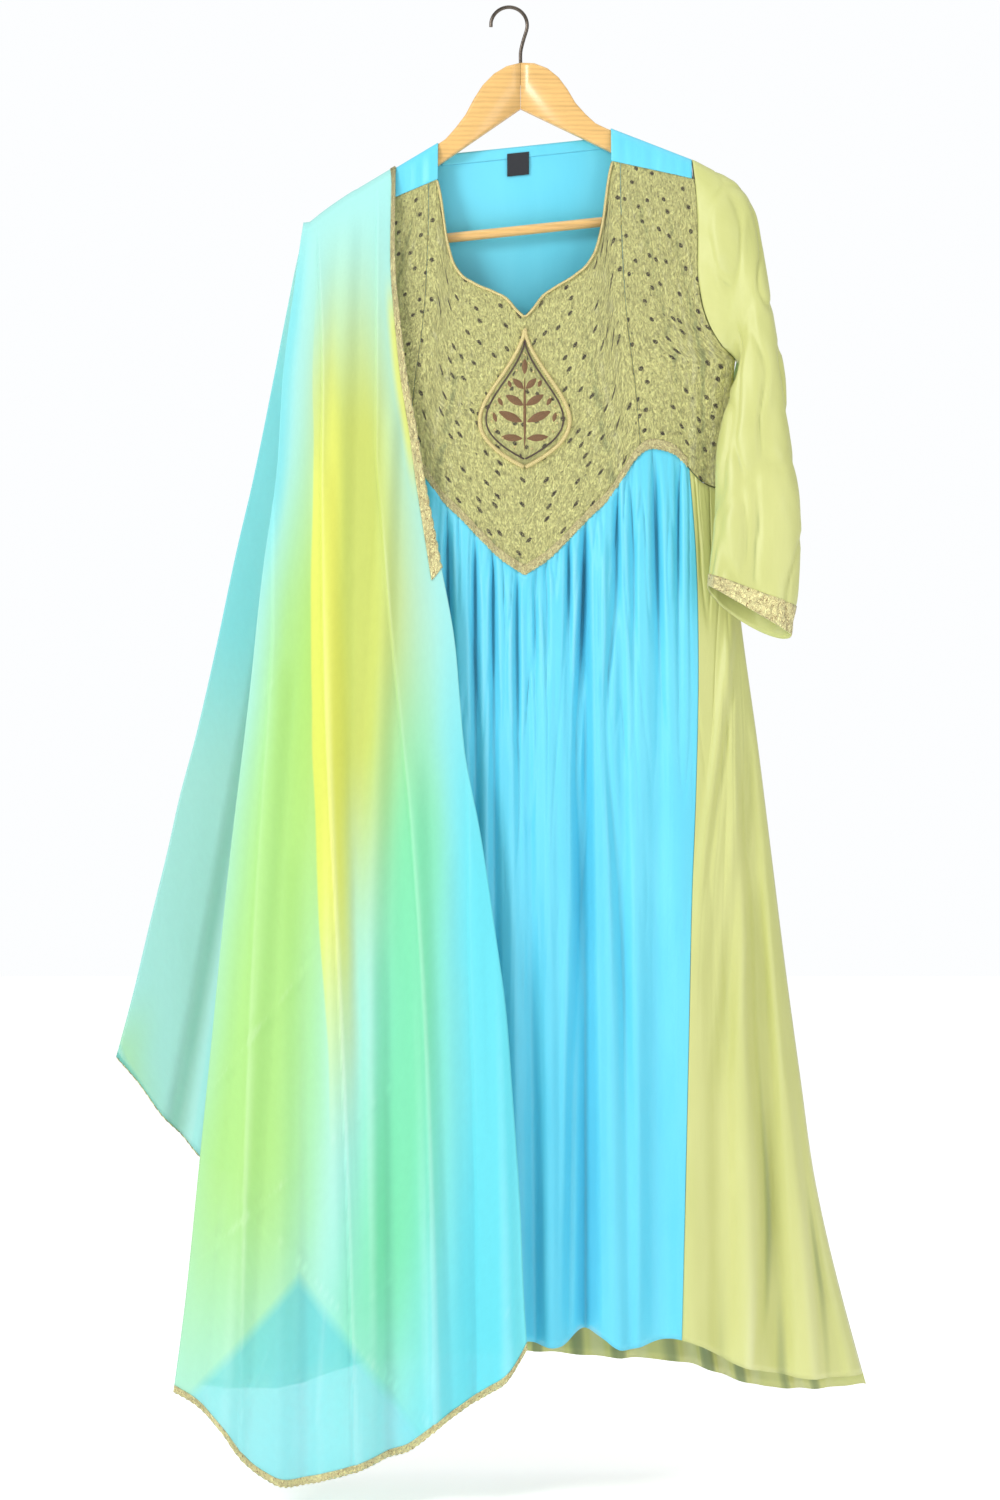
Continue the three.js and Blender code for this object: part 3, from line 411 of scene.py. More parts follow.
def back_y(x, z):
    return max(SIDE_Y, BODY(z, 3) * round_at(x, z) + back_relief(x, z))


def crossing(curve, line_at, start):
    """The height where the edge z = curve(x) meets the line x = line_at(z)."""
    z = start
    for _ in range(7):
        z = curve(line_at(z))
    return z


def panel(x_at, top_at, low_at, y_at):
    """Turns (share across, share down) of a panel into a point of its surface."""
    ends = {}

    def surface(u, v):
        key = round(u, 7)
        if key not in ends:
            ends[key] = [crossing(edge, lambda z: x_at(u, z), z) for edge, z in ((top_at, -400), (low_at, -900))]
        z = lerp(*ends[key], v)
        x = x_at(u, z)
        return hang(x, y_at(x, z), z)

    return surface


def front_top_at(x):
    return NECKLINE(abs(x)) if abs(x) < NECK_X else yoke_front_at(x) - SEAM_GAP


def bodice_hem_at(x):
    return BODICE_HEM(abs(x))


def bodice_y(x, z):
    """The bodice is lined, so it stays smooth apart from a few soft slanting creases."""
    near = smooth((z + 640) / 60)
    crease = fold_sum(BODICE_CREASES, x, z) * near
    pucker = 0.45 * rough(x * 1.9, 1, z * 0.9, 11) + 0.3 * rough(x * 1.7, 9, z, 5) + 0.3 * rough(x, 1, z, 30)
    return front_y(x, z) - crease - pucker * side_fade(x, z)


BODICE_CREASES = tuple(
    (side * x_top, z_top, side * x_low, *rest)
    for x_top, z_top, x_low, *rest in (
        (116, -190, 172, -430, 9, 13, -2.4, -1.2), (150, -215, 196, -392, 8, 12, -1.6, -2.2),
        (60, -330, 96, -520, 10, 14, -0.9, -1.3), (150, -430, 120, -490, 12, 12, 1.0, 1.2),
    )
    for side in (1, -1)
)


bodice_centre = panel(
    lambda u, z: (2 * u - 1) * (PRINCESS(z) - SEAM_GAP / 2), front_top_at, bodice_hem_at, bodice_y)
bodice_back = panel(
    lambda u, z: (2 * u - 1) * edge_x(z, 3),
    lambda x: BACK_NECK_Z if abs(x) < NECK_X else yoke_back_at(x) - SEAM_GAP,
    lambda x: BACK_WAIST_Z,
    back_y)
skirt_centre = panel(
    lambda u, z: (2 * u - 1) * (BLUE_SEAM(z) - SEAM_GAP / 2),
    lambda x: bodice_hem_at(x) - HEM_GAP,
    lambda x: FRONT_HEM(abs(x)),
    front_y)
skirt_back = panel(
    lambda u, z: math.sin((u - 0.5) * math.pi) * side_limit(z, 3),
    lambda x: BACK_WAIST_Z - SEAM_GAP,
    lambda x: BACK_HEM(abs(x)),
    back_y)


def bodice_side(sign):
    return panel(
        lambda u, z: sign * lerp(PRINCESS(z) + SEAM_GAP / 2, edge_x(z, 2), u if sign > 0 else 1 - u),
        lambda x: yoke_front_at(x) - SEAM_GAP, bodice_hem_at, bodice_y)


def skirt_side(sign):
    return panel(
        lambda u, z: sign * lerp(BLUE_SEAM(z) + SEAM_GAP / 2, side_limit(z, 2), u if sign > 0 else 1 - u),
        lambda x: bodice_hem_at(x) - HEM_GAP, lambda x: FRONT_HEM(abs(x)), front_y)


def yoke(sign):
    """The yoke runs over the shoulder, with small gathers let into its front seam."""

    def surface(u, v):
        x = sign * lerp(NECK_X, SHOULDER_X, u if sign > 0 else 1 - u)
        front = v < 0.5
        seam_z = yoke_front_at(x) if front else yoke_back_at(x)
        seam_y = front_y(x, yoke_front_at(x)) if front else back_y(x, yoke_back_at(x))
        turn = math.cos(abs(v - 0.5) * math.pi - math.pi / 2)
        y = seam_y * math.sqrt(max(0.0, turn))
        if front:
            pleat = 1.6 * rough(x, 2, 0, 9) * smooth((0.5 - v) / 0.3)
            y -= (pleat + 0.3) * smooth(v / 0.04)
        return hang(x, y, lerp(ridge_at(x), seam_z, turn * turn))

    return surface


def armhole_point(turn, sign):
    """A point of the armhole's closed edge, from the shoulder down the front and up the back."""
    top = ridge_at(sign * SHOULDER_X)
    z = lerp(top, UNDERARM_Z, (1 - math.cos(turn)) / 2)
    gap = lerp(1.2, 0.5, smooth((z + 335) / 25))
    x = sign * ((ARMHOLE(z) if z > UNDERARM_Z else wide_at(z)) + gap)
    is_front = math.sin(turn) >= 0
    seam_z = yoke_front_at(x) if is_front else yoke_back_at(x)
    y = (front_y if is_front else back_y)(x, min(z, seam_z))
    height = clamp((top - z) / (top - seam_z), 0, 1)
    return Vector((x, y * height**0.25 * smooth((z - UNDERARM_Z) / 12), z))


def sleeve(sign):
    """One sleeve, from the armhole's edge through the table's rows to the cuff."""

    def row_point(row, turn):
        if row < 0:
            return armhole_point(turn, sign)
        out_x, out_z, in_x, in_z, middle, deep, bow = SLEEVE[min(row, len(SLEEVE) - 1)]
        lean = 1 if sign > 0 else lerp(1, HIDDEN_SLEEVE_LEAN, clamp((row + 2) / 3, 0, 1))
        wide = SHOULDER_X + (out_x - SHOULDER_X) * lean
        chord = math.hypot(out_x - in_x, out_z - in_z)
        c, s = math.cos(turn), math.sin(turn)
        ripple = 2.2 * math.sin(3 * turn) * min(1, row / 4)
        x = (wide + in_x) / 2 + ((wide - in_x) / 2) * c - bow * s * s * ((out_z - in_z) / chord)
        z = (out_z + in_z) / 2 + ((out_z - in_z) / 2) * c - CUFF_DROP * max(0.0, -s) * smooth((row - 7) / 4)
        return Vector((sign * x, middle - (deep + ripple) * s, z))

    def surface(u, v):
        turn = 2 * math.pi * (u if sign > 0 else -u)
        at = v * len(SLEEVE)
        k = min(len(SLEEVE) - 1, int(at))
        t = at - k
        a, b = row_point(k - 1, turn), row_point(k, turn)
        before = row_point(k - 2, turn) if k > 0 else a * 2 - b
        after = row_point(k + 1, turn) if k + 1 < len(SLEEVE) else b * 2 - a
        p = spline(before, a, b, after, t) if k else a.lerp(b, t)
        long = rough(p.x, p.y, p.z * 0.28 - p.x * 0.1, 26)
        short = rough(p.x * 1.2, p.y, p.z * 0.45, 13)
        crease = SLEEVE_CREASE * (1.3 * long + 0.5 * short - math.exp(-((long / 0.1) ** 2)))
        puff = 0.7 * math.sin(18 * turn + 2 * math.sin(3 * turn)) * math.exp(-v * 26) * smooth(v * 60)
        push = (crease * smooth(v * 9) + puff) * smooth((1 - v) * 14 + 0.3)
        p += Vector((sign * math.cos(turn) * push, -math.sin(turn) * push, 0))
        return hang(p.x, p.y, p.z)

    return surface


def fall(table, side):
    """One fall of the dupatta; side is -1 in front and 1 behind."""

    def top_at(x):
        rest = FALL_CAP(x) if x < -SHOULDER_X else ridge_at(x)
        return rest + FALL_RISE + TILT * x

    def x_at(u, z):
        return lerp(table["outer"](z), table["inner"](z), u)

    ends = {}

    def surface(u, v):
        key = round(u, 7)
        if key not in ends:
            ends[key] = [crossing(edge, lambda z: x_at(u, z), z) for edge, z in ((top_at, -200), (table["low"], -1500))]
        top, low = ends[key]
        deep = FALL_ROWS(v) if v < 0.3 else lerp(110, top - low, (v - 0.3) / 0.7)
        z = top - deep
        x = x_at(u, z)
        stand = lerp(table["stand_outer"](deep), table["stand_inner"](deep), u)
        stand += fold_sum(table["folds"], x, z) + fall_relief(x, z, side) * smooth(deep / 60)
        return Vector(((x + KURTA_X) * MM, side * stand * MM, z * MM))

    return surface


def fall_relief(x, z, side):
    total = 0.7 * rough(x, 11 * side, z * 0.25, 38) + 0.25 * rough(x, 5 * side, z, 15)
    for edge, height, reach in FALL_EDGES if side < 0 else BACK_FALL_EDGES:
        off = x - edge(z)
        total += height * (math.exp(-off / reach) if off > 0 else max(0.0, 1 + off / 2.5))
    for x1, z1, x2, z2, deep in PACK_CREASES:
        dx, dz = x2 - x1, z2 - z1
        length = math.hypot(dx, dz)
        along = ((x - x1) * dx + (z - z1) * dz) / length
        off = abs((x - x1) * dz - (z - z1) * dx) / length
        if off < 9 and -12 < along < length + 12:
            ends = smooth((along + 12) / 24) * smooth((length + 12 - along) / 24)
            total += deep * ends * math.exp(-off / 2.6)
    return total


# creases left by the packing, as x and z of both ends and the height
PACK_CREASES = (
    (-205, -368, -140, -314, 1.6), (-210, -654, -151, -584, 1.4), (-210, -729, -151, -691, 1.2),
    (-291, -772, -258, -724, 1.3), (-335, -1177, -224, -1034, 2.2), (-221, -1244, -120, -1155, 1.7),
    (-98, -1075, -44, -1041, 1.3), (-354, -1364, -250, -1271, 2.0), (-313, -1281, -239, -1366, 2.2),
    (-239, -1366, -188, -1421, 2.2), (-92, -1461, -2, -1404, 1.6), (-184, -1414, -138, -1377, 1.5),
    (-179, -1452, -102, -1534, 2.0), (-272, -1452, -307, -1537, 1.8), (-214, -1416, -223, -1537, 1.6),
)
# Crisp fold edges that run down the falls: x by height, the height of the step and how far it dies out.
FALL_EDGES = (
    (Table((-240, -226), (-362, -219), (-546, -218), (-761, -214), (-977, -203), (-1190, -193), (-1353, -187),
           (-1600, -180)), 4.5, 16),
    (Table((-500, -160), (-700, -142), (-900, -122), (-1100, -108), (-1353, -99), (-1531, -96)), 3.2, 14),
    (Table((-700, -270), (-1000, -290), (-1300, -300), (-1600, -304)), 2.4, 18),
    (Table((-1000, -60), (-1300, -52), (-1500, -50)), 2.0, 15),
)
BACK_FALL_EDGES = (
    (Table((-240, -205), (-600, -240), (-1000, -300), (-1290, -340)), 3.5, 16),
    (Table((-400, -180), (-900, -220), (-1290, -250)), 2.5, 14),
)
front_fall = fall(FRONT_FALL, -1)
back_fall = fall(BACK_FALL, 1)


def on_front(x, z):
    return hang(x, bodice_y(x, z), z)


def lifted(surface, lift, side):
    """The surface moved off itself by `lift` millimetres; side is -1 where its outside faces the front."""
    step = 1e-3

    def moved(u, v):
        along = surface(min(1, u + step), v) - surface(max(0, u - step), v)
        down = surface(u, min(1, v + step)) - surface(u, max(0, v - step))
        out = along.cross(down).normalized() * side
        return surface(u, v) + out * (lift * MM)

    return moved


# ---------- meshes ----------
def linked(name, data):
    made = bpy.data.objects.new(name, data)
    bpy.context.scene.collection.objects.link(made)
    return made


def finish_mesh(name, bm, material, modifiers=()):
    mesh = bpy.data.meshes.new(name)
    bm.to_mesh(mesh)
    bm.free()
    piece = linked(name, mesh)
    mesh.materials.append(material)
    mesh.shade_smooth()
    for kind, settings in modifiers:
        modifier = piece.modifiers.new(kind.title(), kind)
        for key, value in settings.items():
            setattr(modifier, key, value)
    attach(piece, "root")
    return piece


def cloth_bmesh(surface, across, down, size, side, ring=False):
    """A grid laid over surface(u, v), with its UV map in units of 10 mm of cloth."""
    bm = bmesh.new()
    uv = bm.loops.layers.uv.new("UVMap")
    # The Fold layer keeps each vertex's fold depth, from which the materials paint shade and highlight.
    bm.verts.layers.float.new("Fold")
    bmesh.ops.create_grid(bm, x_segments=across, y_segments=down, size=0.5)
    for face in bm.faces:
        for loop in face.loops:
            at = loop.vert.co
            loop[uv].uv = ((at.x + 0.5) * size[0] / 10, (0.5 - at.y) * size[1] / 10)
    grid = {}
    for vert in bm.verts:
        u, v = vert.co.x + 0.5, 0.5 - vert.co.y
        grid[round(u * across), round(v * down)] = vert
        vert.co = surface(u, v)
    mark_folds(bm, grid, across, down, side, ring)
    if ring:
        bmesh.ops.remove_doubles(bm, verts=bm.verts, dist=1e-6)
    return bm


def mark_folds(bm, grid, across, down, side, ring):
    """Stores at each vertex how far it lies behind its neighbours across. The materials turn this into painted shade in
    the valleys of folds and painted highlight on their ridges.
    """
    layer = bm.verts.layers.float["Fold"]
    middle = sum((v.co for v in bm.verts), Vector()) / len(bm.verts)
    dips, facing = {}, 0.0
    for (i, j), vert in grid.items():
        total = 0.0
        for reach in (2, 4):
            if ring:
                a, b = grid[(i - reach) % across, j], grid[(i + reach) % across, j]
            else:
                near = min(reach, i, across - i)
                a, b = grid[i - near, j], grid[i + near, j]
            run = b.co - a.co
            out = run.cross(grid[i, min(down, j + 1)].co - grid[i, max(0, j - 1)].co).normalized()
            total += ((a.co + b.co) / 2 - vert.co).dot(out) / MM / reach
        facing += out.dot(vert.co - middle) if ring else out.y * side
        dips[vert] = total
    sign = 1 if facing > 0 else -1
    for vert, dip in dips.items():
        vert[layer] = clamp(sign * dip * FOLD_SHADE, -1, 1)


def face_out(bm, side):
    """Turns the faces so that their outside is where y has the sign of `side`."""
    total = sum(face.normal.y * face.calc_area() for face in bm.faces)
    if total * side < 0:
        bmesh.ops.reverse_faces(bm, faces=bm.faces)


def cloth(name, surface, across, down, size, finish, side=-1, ring=False, thick=CLOTH):
    """A thin sheet over surface(u, v), in the material and the slot of its finish."""
    bm = cloth_bmesh(surface, across, down, size, side, ring)
    bm.normal_update()
    if ring:
        bmesh.ops.recalc_face_normals(bm, faces=bm.faces)
        middle = sum((v.co for v in bm.verts), Vector()) / len(bm.verts)
        outward = sum((f.calc_center_median() - middle).dot(f.normal) for f in bm.faces)
        if outward < 0:
            bmesh.ops.reverse_faces(bm, faces=bm.faces)
    else:
        face_out(bm, side)
    thicken = ("SOLIDIFY", {"thickness": thick * MM, "offset": 0.0, "use_even_offset": False})
    return finish_mesh(name, bm, material(finish), [thicken])


def sewn(name, node, surface, across, down, size, finish, held, rests_on, **options):
    """A sheet of cloth that takes the place of one node, with its flat size measured."""
    piece = cloth(name, surface, across, down, size, finish, **options)
    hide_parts(node)
    declare(surface)


def flat_size(surface, across=96, down=24):
    """The width and length of the rectangle that a piece is cut from, and the piece's area, in metres."""
    grid = [[surface(i / across, j / down) for i in range(across + 1)] for j in range(down + 1)]
    # Level girths and widths: a slanting edge, such as an armhole, is longer than the cloth is wide.
    wide = max(sum((a - b).xy.length for a, b in zip(row, row[1:])) for row in grid)
    columns = [sum((grid[j][i] - grid[j + 1][i]).length for j in range(down)) for i in range(across + 1)]
    heights = [p.z - p.x * tilt_at(p.z / MM) for row in grid for p in row]  # as cut, without the drop of the shoulders
    long = max(*columns, max(heights) - min(heights))
    area = 0.0
    for j in range(down):
        for i in range(across):
            a, b, c, d = grid[j][i], grid[j][i + 1], grid[j + 1][i + 1], grid[j + 1][i]
            area += ((b - a).cross(c - a).length + (c - a).cross(d - a).length) / 2
    return wide, long, area


def declare(surface):
    """Measures the flat cloth that a piece is made from on its surface and rounds its sizes; nothing keeps them."""
    wide, long, area = flat_size(surface)
    wide, long = round(wide + 0.002, 3), round(long + 0.002, 3)


def cord_piece(name, points, radius, material, sides=8):
    """A round cord along the points, as a section carried along a curve and made a mesh."""
    curve = bpy.data.curves.new(name, "CURVE")
    curve.dimensions = "3D"
    curve.bevel_depth = radius * MM
    curve.bevel_resolution = max(0, sides // 4 - 1)
    curve.resolution_u = 1
    curve.use_fill_caps = True
    spline = curve.splines.new("POLY")
    spline.points.add(len(points) - 1)
    for point, at in zip(spline.points, points):
        point.co = (*at, 1.0)
    holder = linked(name, curve)
    mesh = bpy.data.meshes.new_from_object(holder.evaluated_get(bpy.context.evaluated_depsgraph_get()))
    bpy.data.objects.remove(holder)
    bpy.data.curves.remove(curve)
    bm = bmesh.new()
    bm.from_mesh(mesh)
    bpy.data.meshes.remove(mesh)
    bmesh.ops.remove_doubles(bm, verts=bm.verts, dist=1e-6)
    bmesh.ops.recalc_face_normals(bm, faces=bm.faces)
    return finish_mesh(name, bm, material)


# ---------- materials ----------
class Material:
    """A node material under construction. Sockets are named by node and name."""

    def __init__(self, name):
        self.data = bpy.data.materials.new(name)
        self.data.use_nodes = True
        self.tree = self.data.node_tree
        self.shader = next(n for n in self.tree.nodes if n.type == "BSDF_PRINCIPLED")

    def set(self, **values):
        for key, value in values.items():
            self.shader.inputs[key.replace("_", " ")].default_value = value
        return self

    def node(self, kind, inputs=(), **settings):
        made = self.tree.nodes.new("ShaderNode" + kind)
        for key, value in settings.items():
            setattr(made, key, value)
        for key, value in dict(inputs).items():
            if isinstance(value, bpy.types.NodeSocket):
                self.tree.links.new(value, made.inputs[key])
            else:
                made.inputs[key].default_value = value
        return made

    def link(self, socket, name):
        self.tree.links.new(socket, self.shader.inputs[name])

    def place(self, kind="Object"):
        return self.node("TexCoord").outputs[kind]

    def scaled(self, vector, scale, turn=(0, 0, 0)):
        return self.node("Mapping", {"Vector": vector, "Scale": scale, "Rotation": turn}).outputs["Vector"]

    def noise(self, vector, scale, detail=3.0, rough=0.55):
        inputs = {"Vector": vector, "Scale": scale, "Detail": detail, "Roughness": rough}
        return self.node("TexNoise", inputs).outputs["Fac"]

    def math(self, operation, a, b=0.0, c=0.0, clamp=False):
        made = self.node("Math", operation=operation, use_clamp=clamp)
        for i, value in enumerate((a, b, c)):
            if isinstance(value, bpy.types.NodeSocket):
                self.tree.links.new(value, made.inputs[i])
            else:
                made.inputs[i].default_value = value
        return made.outputs[0]

    def times(self, a, b, clamp=False):
        return self.math("MULTIPLY", a, b, clamp=clamp)

    def plus(self, a, b):
        return self.math("ADD", a, b)

    def minus(self, a, b):
        return self.math("SUBTRACT", a, b)

    def wave(self, vector, scale, distortion, detail=2.0, direction="X", **more):
        inputs = {"Vector": vector, "Scale": scale, "Distortion": distortion, "Detail": detail, **more}
        return self.node("TexWave", inputs, bands_direction=direction).outputs["Fac"]

    def cells(self, vector, scale, spread, feature="F1", dimensions="2D"):
        """Distance to the nearest of some scattered points."""
        inputs = {"Vector": vector, "Scale": scale, "Randomness": spread}
        made = self.node("TexVoronoi", inputs, feature=feature, voronoi_dimensions=dimensions)
        return made.outputs["Distance"]

    def bent(self, vector, by, scale):
        """The vector, shifted about by a noise that follows `by`."""
        shift = self.node("TexNoise", {"Vector": by, "Scale": scale, "Detail": 2.0}).outputs["Color"]
        return self.node("VectorMath", {0: vector, 1: shift}, operation="ADD").outputs["Vector"]

    def ramp(self, fac, *stops):
        made = self.node("ValToRGB", {"Fac": fac})
        elements = made.color_ramp.elements
        while len(elements) < len(stops):
            elements.new(0.5)
        for element, (at, color) in zip(elements, stops):
            element.position = at
            element.color = (*color, 1.0)
        return made.outputs["Color"]

    def mix(self, fac, a, b, blend="MIX"):
        made = self.node("Mix", data_type="RGBA", blend_type=blend)
        for socket, value in ((made.inputs[0], fac), (made.inputs[6], a), (made.inputs[7], b)):
            if isinstance(value, bpy.types.NodeSocket):
                self.tree.links.new(value, socket)
            elif isinstance(value, (int, float)):
                socket.default_value = value
            else:
                socket.default_value = (*value[:3], 1.0)
        return made.outputs[2]

    def fade(self, value, start, end):
        """0 at `start`, rising smoothly to 1 at `end`, whichever of them is larger."""
        low, high, a, b = (start, end, 0.0, 1.0) if start < end else (end, start, 1.0, 0.0)
        inputs = {"Value": value, "From Min": low, "From Max": high, "To Min": a, "To Max": b}
        return self.node("MapRange", inputs, interpolation_type="SMOOTHSTEP").outputs["Result"]

    def fold(self):
        """How deep in a fold a point lies: above 0 in a valley and below 0 on a ridge."""
        return self.node("Attribute", attribute_name="Fold").outputs["Fac"]

    def folded(self, color, dark, light, gain=1.0):
        """The colour with painted shade in the sharp valleys of the folds and a painted highlight on their ridges."""
        fold = self.times(self.fold(), gain)
        # painted shade: the colour darkened towards a cool dark tint in the valleys
        deep = self.mix(1.0, color, (0.26, 0.36, 0.44), "MULTIPLY")
        color = self.mix(self.times(self.fade(fold, 0.15, 0.9), dark), color, deep)
        # painted highlight: the colour paled towards white on the ridges
        return self.mix(self.times(self.fade(fold, -0.1, -0.8), light), color, (1.0, 1.0, 1.0))

    def bump(self, height, distance, strength=1.0, below=None):
        inputs = {"Height": height, "Distance": distance, "Strength": strength}
        if below is not None:
            inputs["Normal"] = below
        return self.node("Bump", inputs).outputs["Normal"]


def shade(color, factor):
    return tuple(clamp(c * factor, 0.0, 1.0) for c in color[:3])


def weave_height(m, uv, per_unit):
    """The small over and under of a plain weave, from two crossing waves of the UV map."""
    return m.times(*(m.wave(uv, per_unit, 0.6, 1.0, direction) for direction in "XY"))


def satin(name, color, deep):
    """Satin with a soft sheen along its folds, painted shade in their valleys and a painted highlight on their ridges;
    `deep` is its colour where the dye lies thicker.
    """
    m = Material(name).set(Sheen_Weight=0.12, Sheen_Roughness=0.4, Specular_IOR_Level=0.5)
    at = m.place()
    uv = m.place("UV")
    cloud = m.noise(m.scaled(at, (9, 9, 2.2)), 1.0, 4.0)
    slub = m.noise(m.scaled(uv, (6.0, 0.25, 1)), 1.0, 2.0)
    tone = m.ramp(cloud, (0.32, deep), (0.66, color))
    tone = m.mix(m.times(slub, 0.14), tone, shade(color, 1.18))
    # painted shade in the folds' valleys and a painted highlight on their ridges
    m.link(m.folded(tone, 0.75, 0.10), "Base Color")
    fine = m.bump(weave_height(m, uv, 9.0), 0.00006, 0.5)
    crush = m.noise(m.scaled(at, (60, 60, 18)), 1.0, 3.0)
    m.link(m.bump(crush, 0.0011, 0.32, fine), "Normal")
    m.link(m.math("MULTIPLY_ADD", slub, 0.12, 0.31), "Roughness")
    return m.data


def printed(name, color, speck):
    """The bodice's crinkled cloth: a puckered ground with small uneven dark flecks in loose rows, and painted shade in
    its hollows and along its crinkle lines.
    """
    m = Material(name).set(Roughness=0.62, Sheen_Weight=0.1, Specular_IOR_Level=0.45)
    uv, at = m.place("UV"), m.place()
    bent = m.bent(m.scaled(uv, (1.0, 0.55, 1), (0, 0, 0.25)), uv, 1.1)
    wrinkle = m.cells(bent, 2.3, 1.0, "SMOOTH_F1", "3D")
    ripple = m.noise(m.scaled(uv, (2.0, 0.8, 1), (0, 0, 0.2)), 1.5, 6.0, 0.7)
    height = m.plus(m.times(wrinkle, 0.7), ripple)
    # painted shade in the puckers' hollows and a painted highlight on their raised parts, from the same noise that
    # raises them
    ground = m.ramp(ripple, (0.36, shade(color, 0.58)), (0.48, color), (0.64, shade(color, 1.3)))
    ground = m.mix(m.times(m.noise(at, 12.0), 0.3), ground, shade(color, 0.82))
    line = m.noise(m.scaled(uv, (3.6, 1.2, 1), (0, 0, 0.28)), 1.5, 4.0, 0.6)
    crinkle = m.fade(m.math("ABSOLUTE", m.minus(line, 0.5)), 0.05, 0.0)
    # painted shade along the crinkle lines, which the bump sinks as grooves
    ground = m.mix(m.times(crinkle, 0.34), ground, shade(color, 0.42))
    height = m.minus(height, m.times(crinkle, 0.25))
    wobble = m.times(m.noise(uv, 9.0, 4.0, 0.8), 0.24)
    turned = m.scaled(uv, (1, 1.15, 1), (0, 0, 0.5))
    fleck = m.fade(m.plus(m.cells(turned, 0.40, 0.9), wobble), 0.25, 0.22)
    broken = m.fade(m.noise(uv, 8.0, 3.0), 0.38, 0.5)
    small = m.fade(m.plus(m.cells(uv, 0.8, 1.0), wobble), 0.24, 0.20)
    small = m.times(small, m.fade(m.noise(uv, 0.9, 1.0), 0.56, 0.62))
    fleck = m.times(fleck, m.math("MULTIPLY_ADD", broken, 0.6, 0.4))
    fleck = m.math("MAXIMUM", fleck, m.times(small, 0.6))
    # The flecks are print; the ground under them takes painted shade in the folds' valleys and a painted highlight on
    # their ridges.
    m.link(m.mix(fleck, m.folded(ground, 0.55, 0.12, 5.0), speck), "Base Color")
    fine = m.bump(weave_height(m, uv, 8.0), 0.00008, 0.5)
    m.link(m.bump(height, 0.0045, 1.0, fine), "Normal")
    return m.data


def lace_material(name, light, dark):
    """Woven trim: gold thread in small uneven loops over a brown ground."""
    m = Material(name).set(Roughness=0.5, Sheen_Weight=0.2)
    uv = m.place("UV")
    bent = m.bent(uv, uv, 2.5)
    loops = m.cells(m.scaled(bent, (1.6, 2.4, 1)), 1.9, 0.8, dimensions="3D")
    twist = m.wave(m.scaled(bent, (1.3, 2.2, 1), (0, 0, 0.8)), 1.6, 3.0)
    net = m.plus(m.times(twist, 0.55), m.times(loops, 0.6))
    # The brown ground and the gold thread are the lace's own colours; the thread grading from darker near the ground to
    # paler on its highest loops is painted shade and painted highlight.
    tone = m.ramp(net, (0.20, dark), (0.36, shade(light, 0.75)), (0.75, light), (1.0, shade(light, 1.2)))
    rust = m.ramp(m.noise(uv, 1.4, 3.0), (0.56, (0, 0, 0)), (0.68, (1, 1, 1)))
    tone = m.mix(m.times(rust, 0.35), tone, shade(light, 0.35))
    m.link(tone, "Base Color")
    m.link(m.bump(net, 0.0016, 0.9), "Normal")
    return m.data


def cord_material(name, light, dark):
    """Twisted metallic thread, with painted shade in the grooves of its twist."""
    m = Material(name).set(Roughness=0.42, Metallic=0.3)
    at = m.place()
    twist = m.wave(m.scaled(at, (700, 300, 700)), 1.0, 0.8, direction="DIAGONAL")
    # the twist's grooves, where the bump sinks, take the dark colour as painted shade; the raised strands take the
    # light one
    m.link(m.ramp(twist, (0.05, dark), (0.35, light)), "Base Color")
    m.link(m.bump(twist, 0.0004, 0.6), "Normal")
    return m.data


def wood_material(name, color):
    m = Material(name).set(Roughness=0.34, Coat_Weight=0.35, Coat_Roughness=0.18)
    at = m.place()
    bent = m.scaled(at, (3.2, 9, 30))
    grain = m.noise(bent, 4.5, 6.0, 0.6)
    ring = m.wave(m.scaled(at, (4, 12, 38)), 1.6, 5.0, 3.0, "Z", **{"Detail Scale": 1.2})
    tone = m.ramp(m.plus(m.times(grain, 0.75), m.times(ring, 0.25)),
                  (0.25, shade(color, 0.80)), (0.5, color), (0.8, shade(color, 1.10)))
    pore = m.noise(m.scaled(at, (30, 160, 420)), 3.0, 2.0)
    tone = m.mix(m.times(m.ramp(pore, (0.55, (0, 0, 0)), (0.72, (1, 1, 1))), 0.25), tone, shade(color, 0.55))
    m.link(tone, "Base Color")
    m.link(m.bump(m.plus(grain, m.times(pore, 0.4)), 0.00035, 0.4), "Normal")
    return m.data


def steel_material(name, color):
    m = Material(name).set(Metallic=1.0)
    at = m.place()
    wear = m.noise(at, 90.0, 5.0)
    m.link(m.ramp(wear, (0.35, shade(color, 0.75)), (0.7, shade(color, 1.5))), "Base Color")
    m.link(m.math("MULTIPLY_ADD", wear, 0.3, 0.18), "Roughness")
    m.link(m.bump(m.noise(at, 900.0, 2.0), 0.00005, 0.4), "Normal")
    return m.data


def label_material(name, color):
    m = Material(name).set(Roughness=0.62, Sheen_Weight=0.2)
    uv = m.place("UV")
    height = weave_height(m, uv, 6.0)
    # painted shade in the weave's low points and a painted highlight on its raised crossings
    m.link(m.ramp(height, (0.1, shade(color, 0.6)), (0.9, shade(color, 1.8))), "Base Color")
    m.link(m.bump(height, 0.0002, 0.6), "Normal")
    return m.data


def dye(red, green, blue):
    """A screen colour from 0 to 255 as the linear colour that a shader reads."""
    shares = (red / 255, green / 255, blue / 255)
    return tuple(c / 12.92 if c <= 0.04045 else ((c + 0.055) / 1.055) ** 2.4 for c in shares)


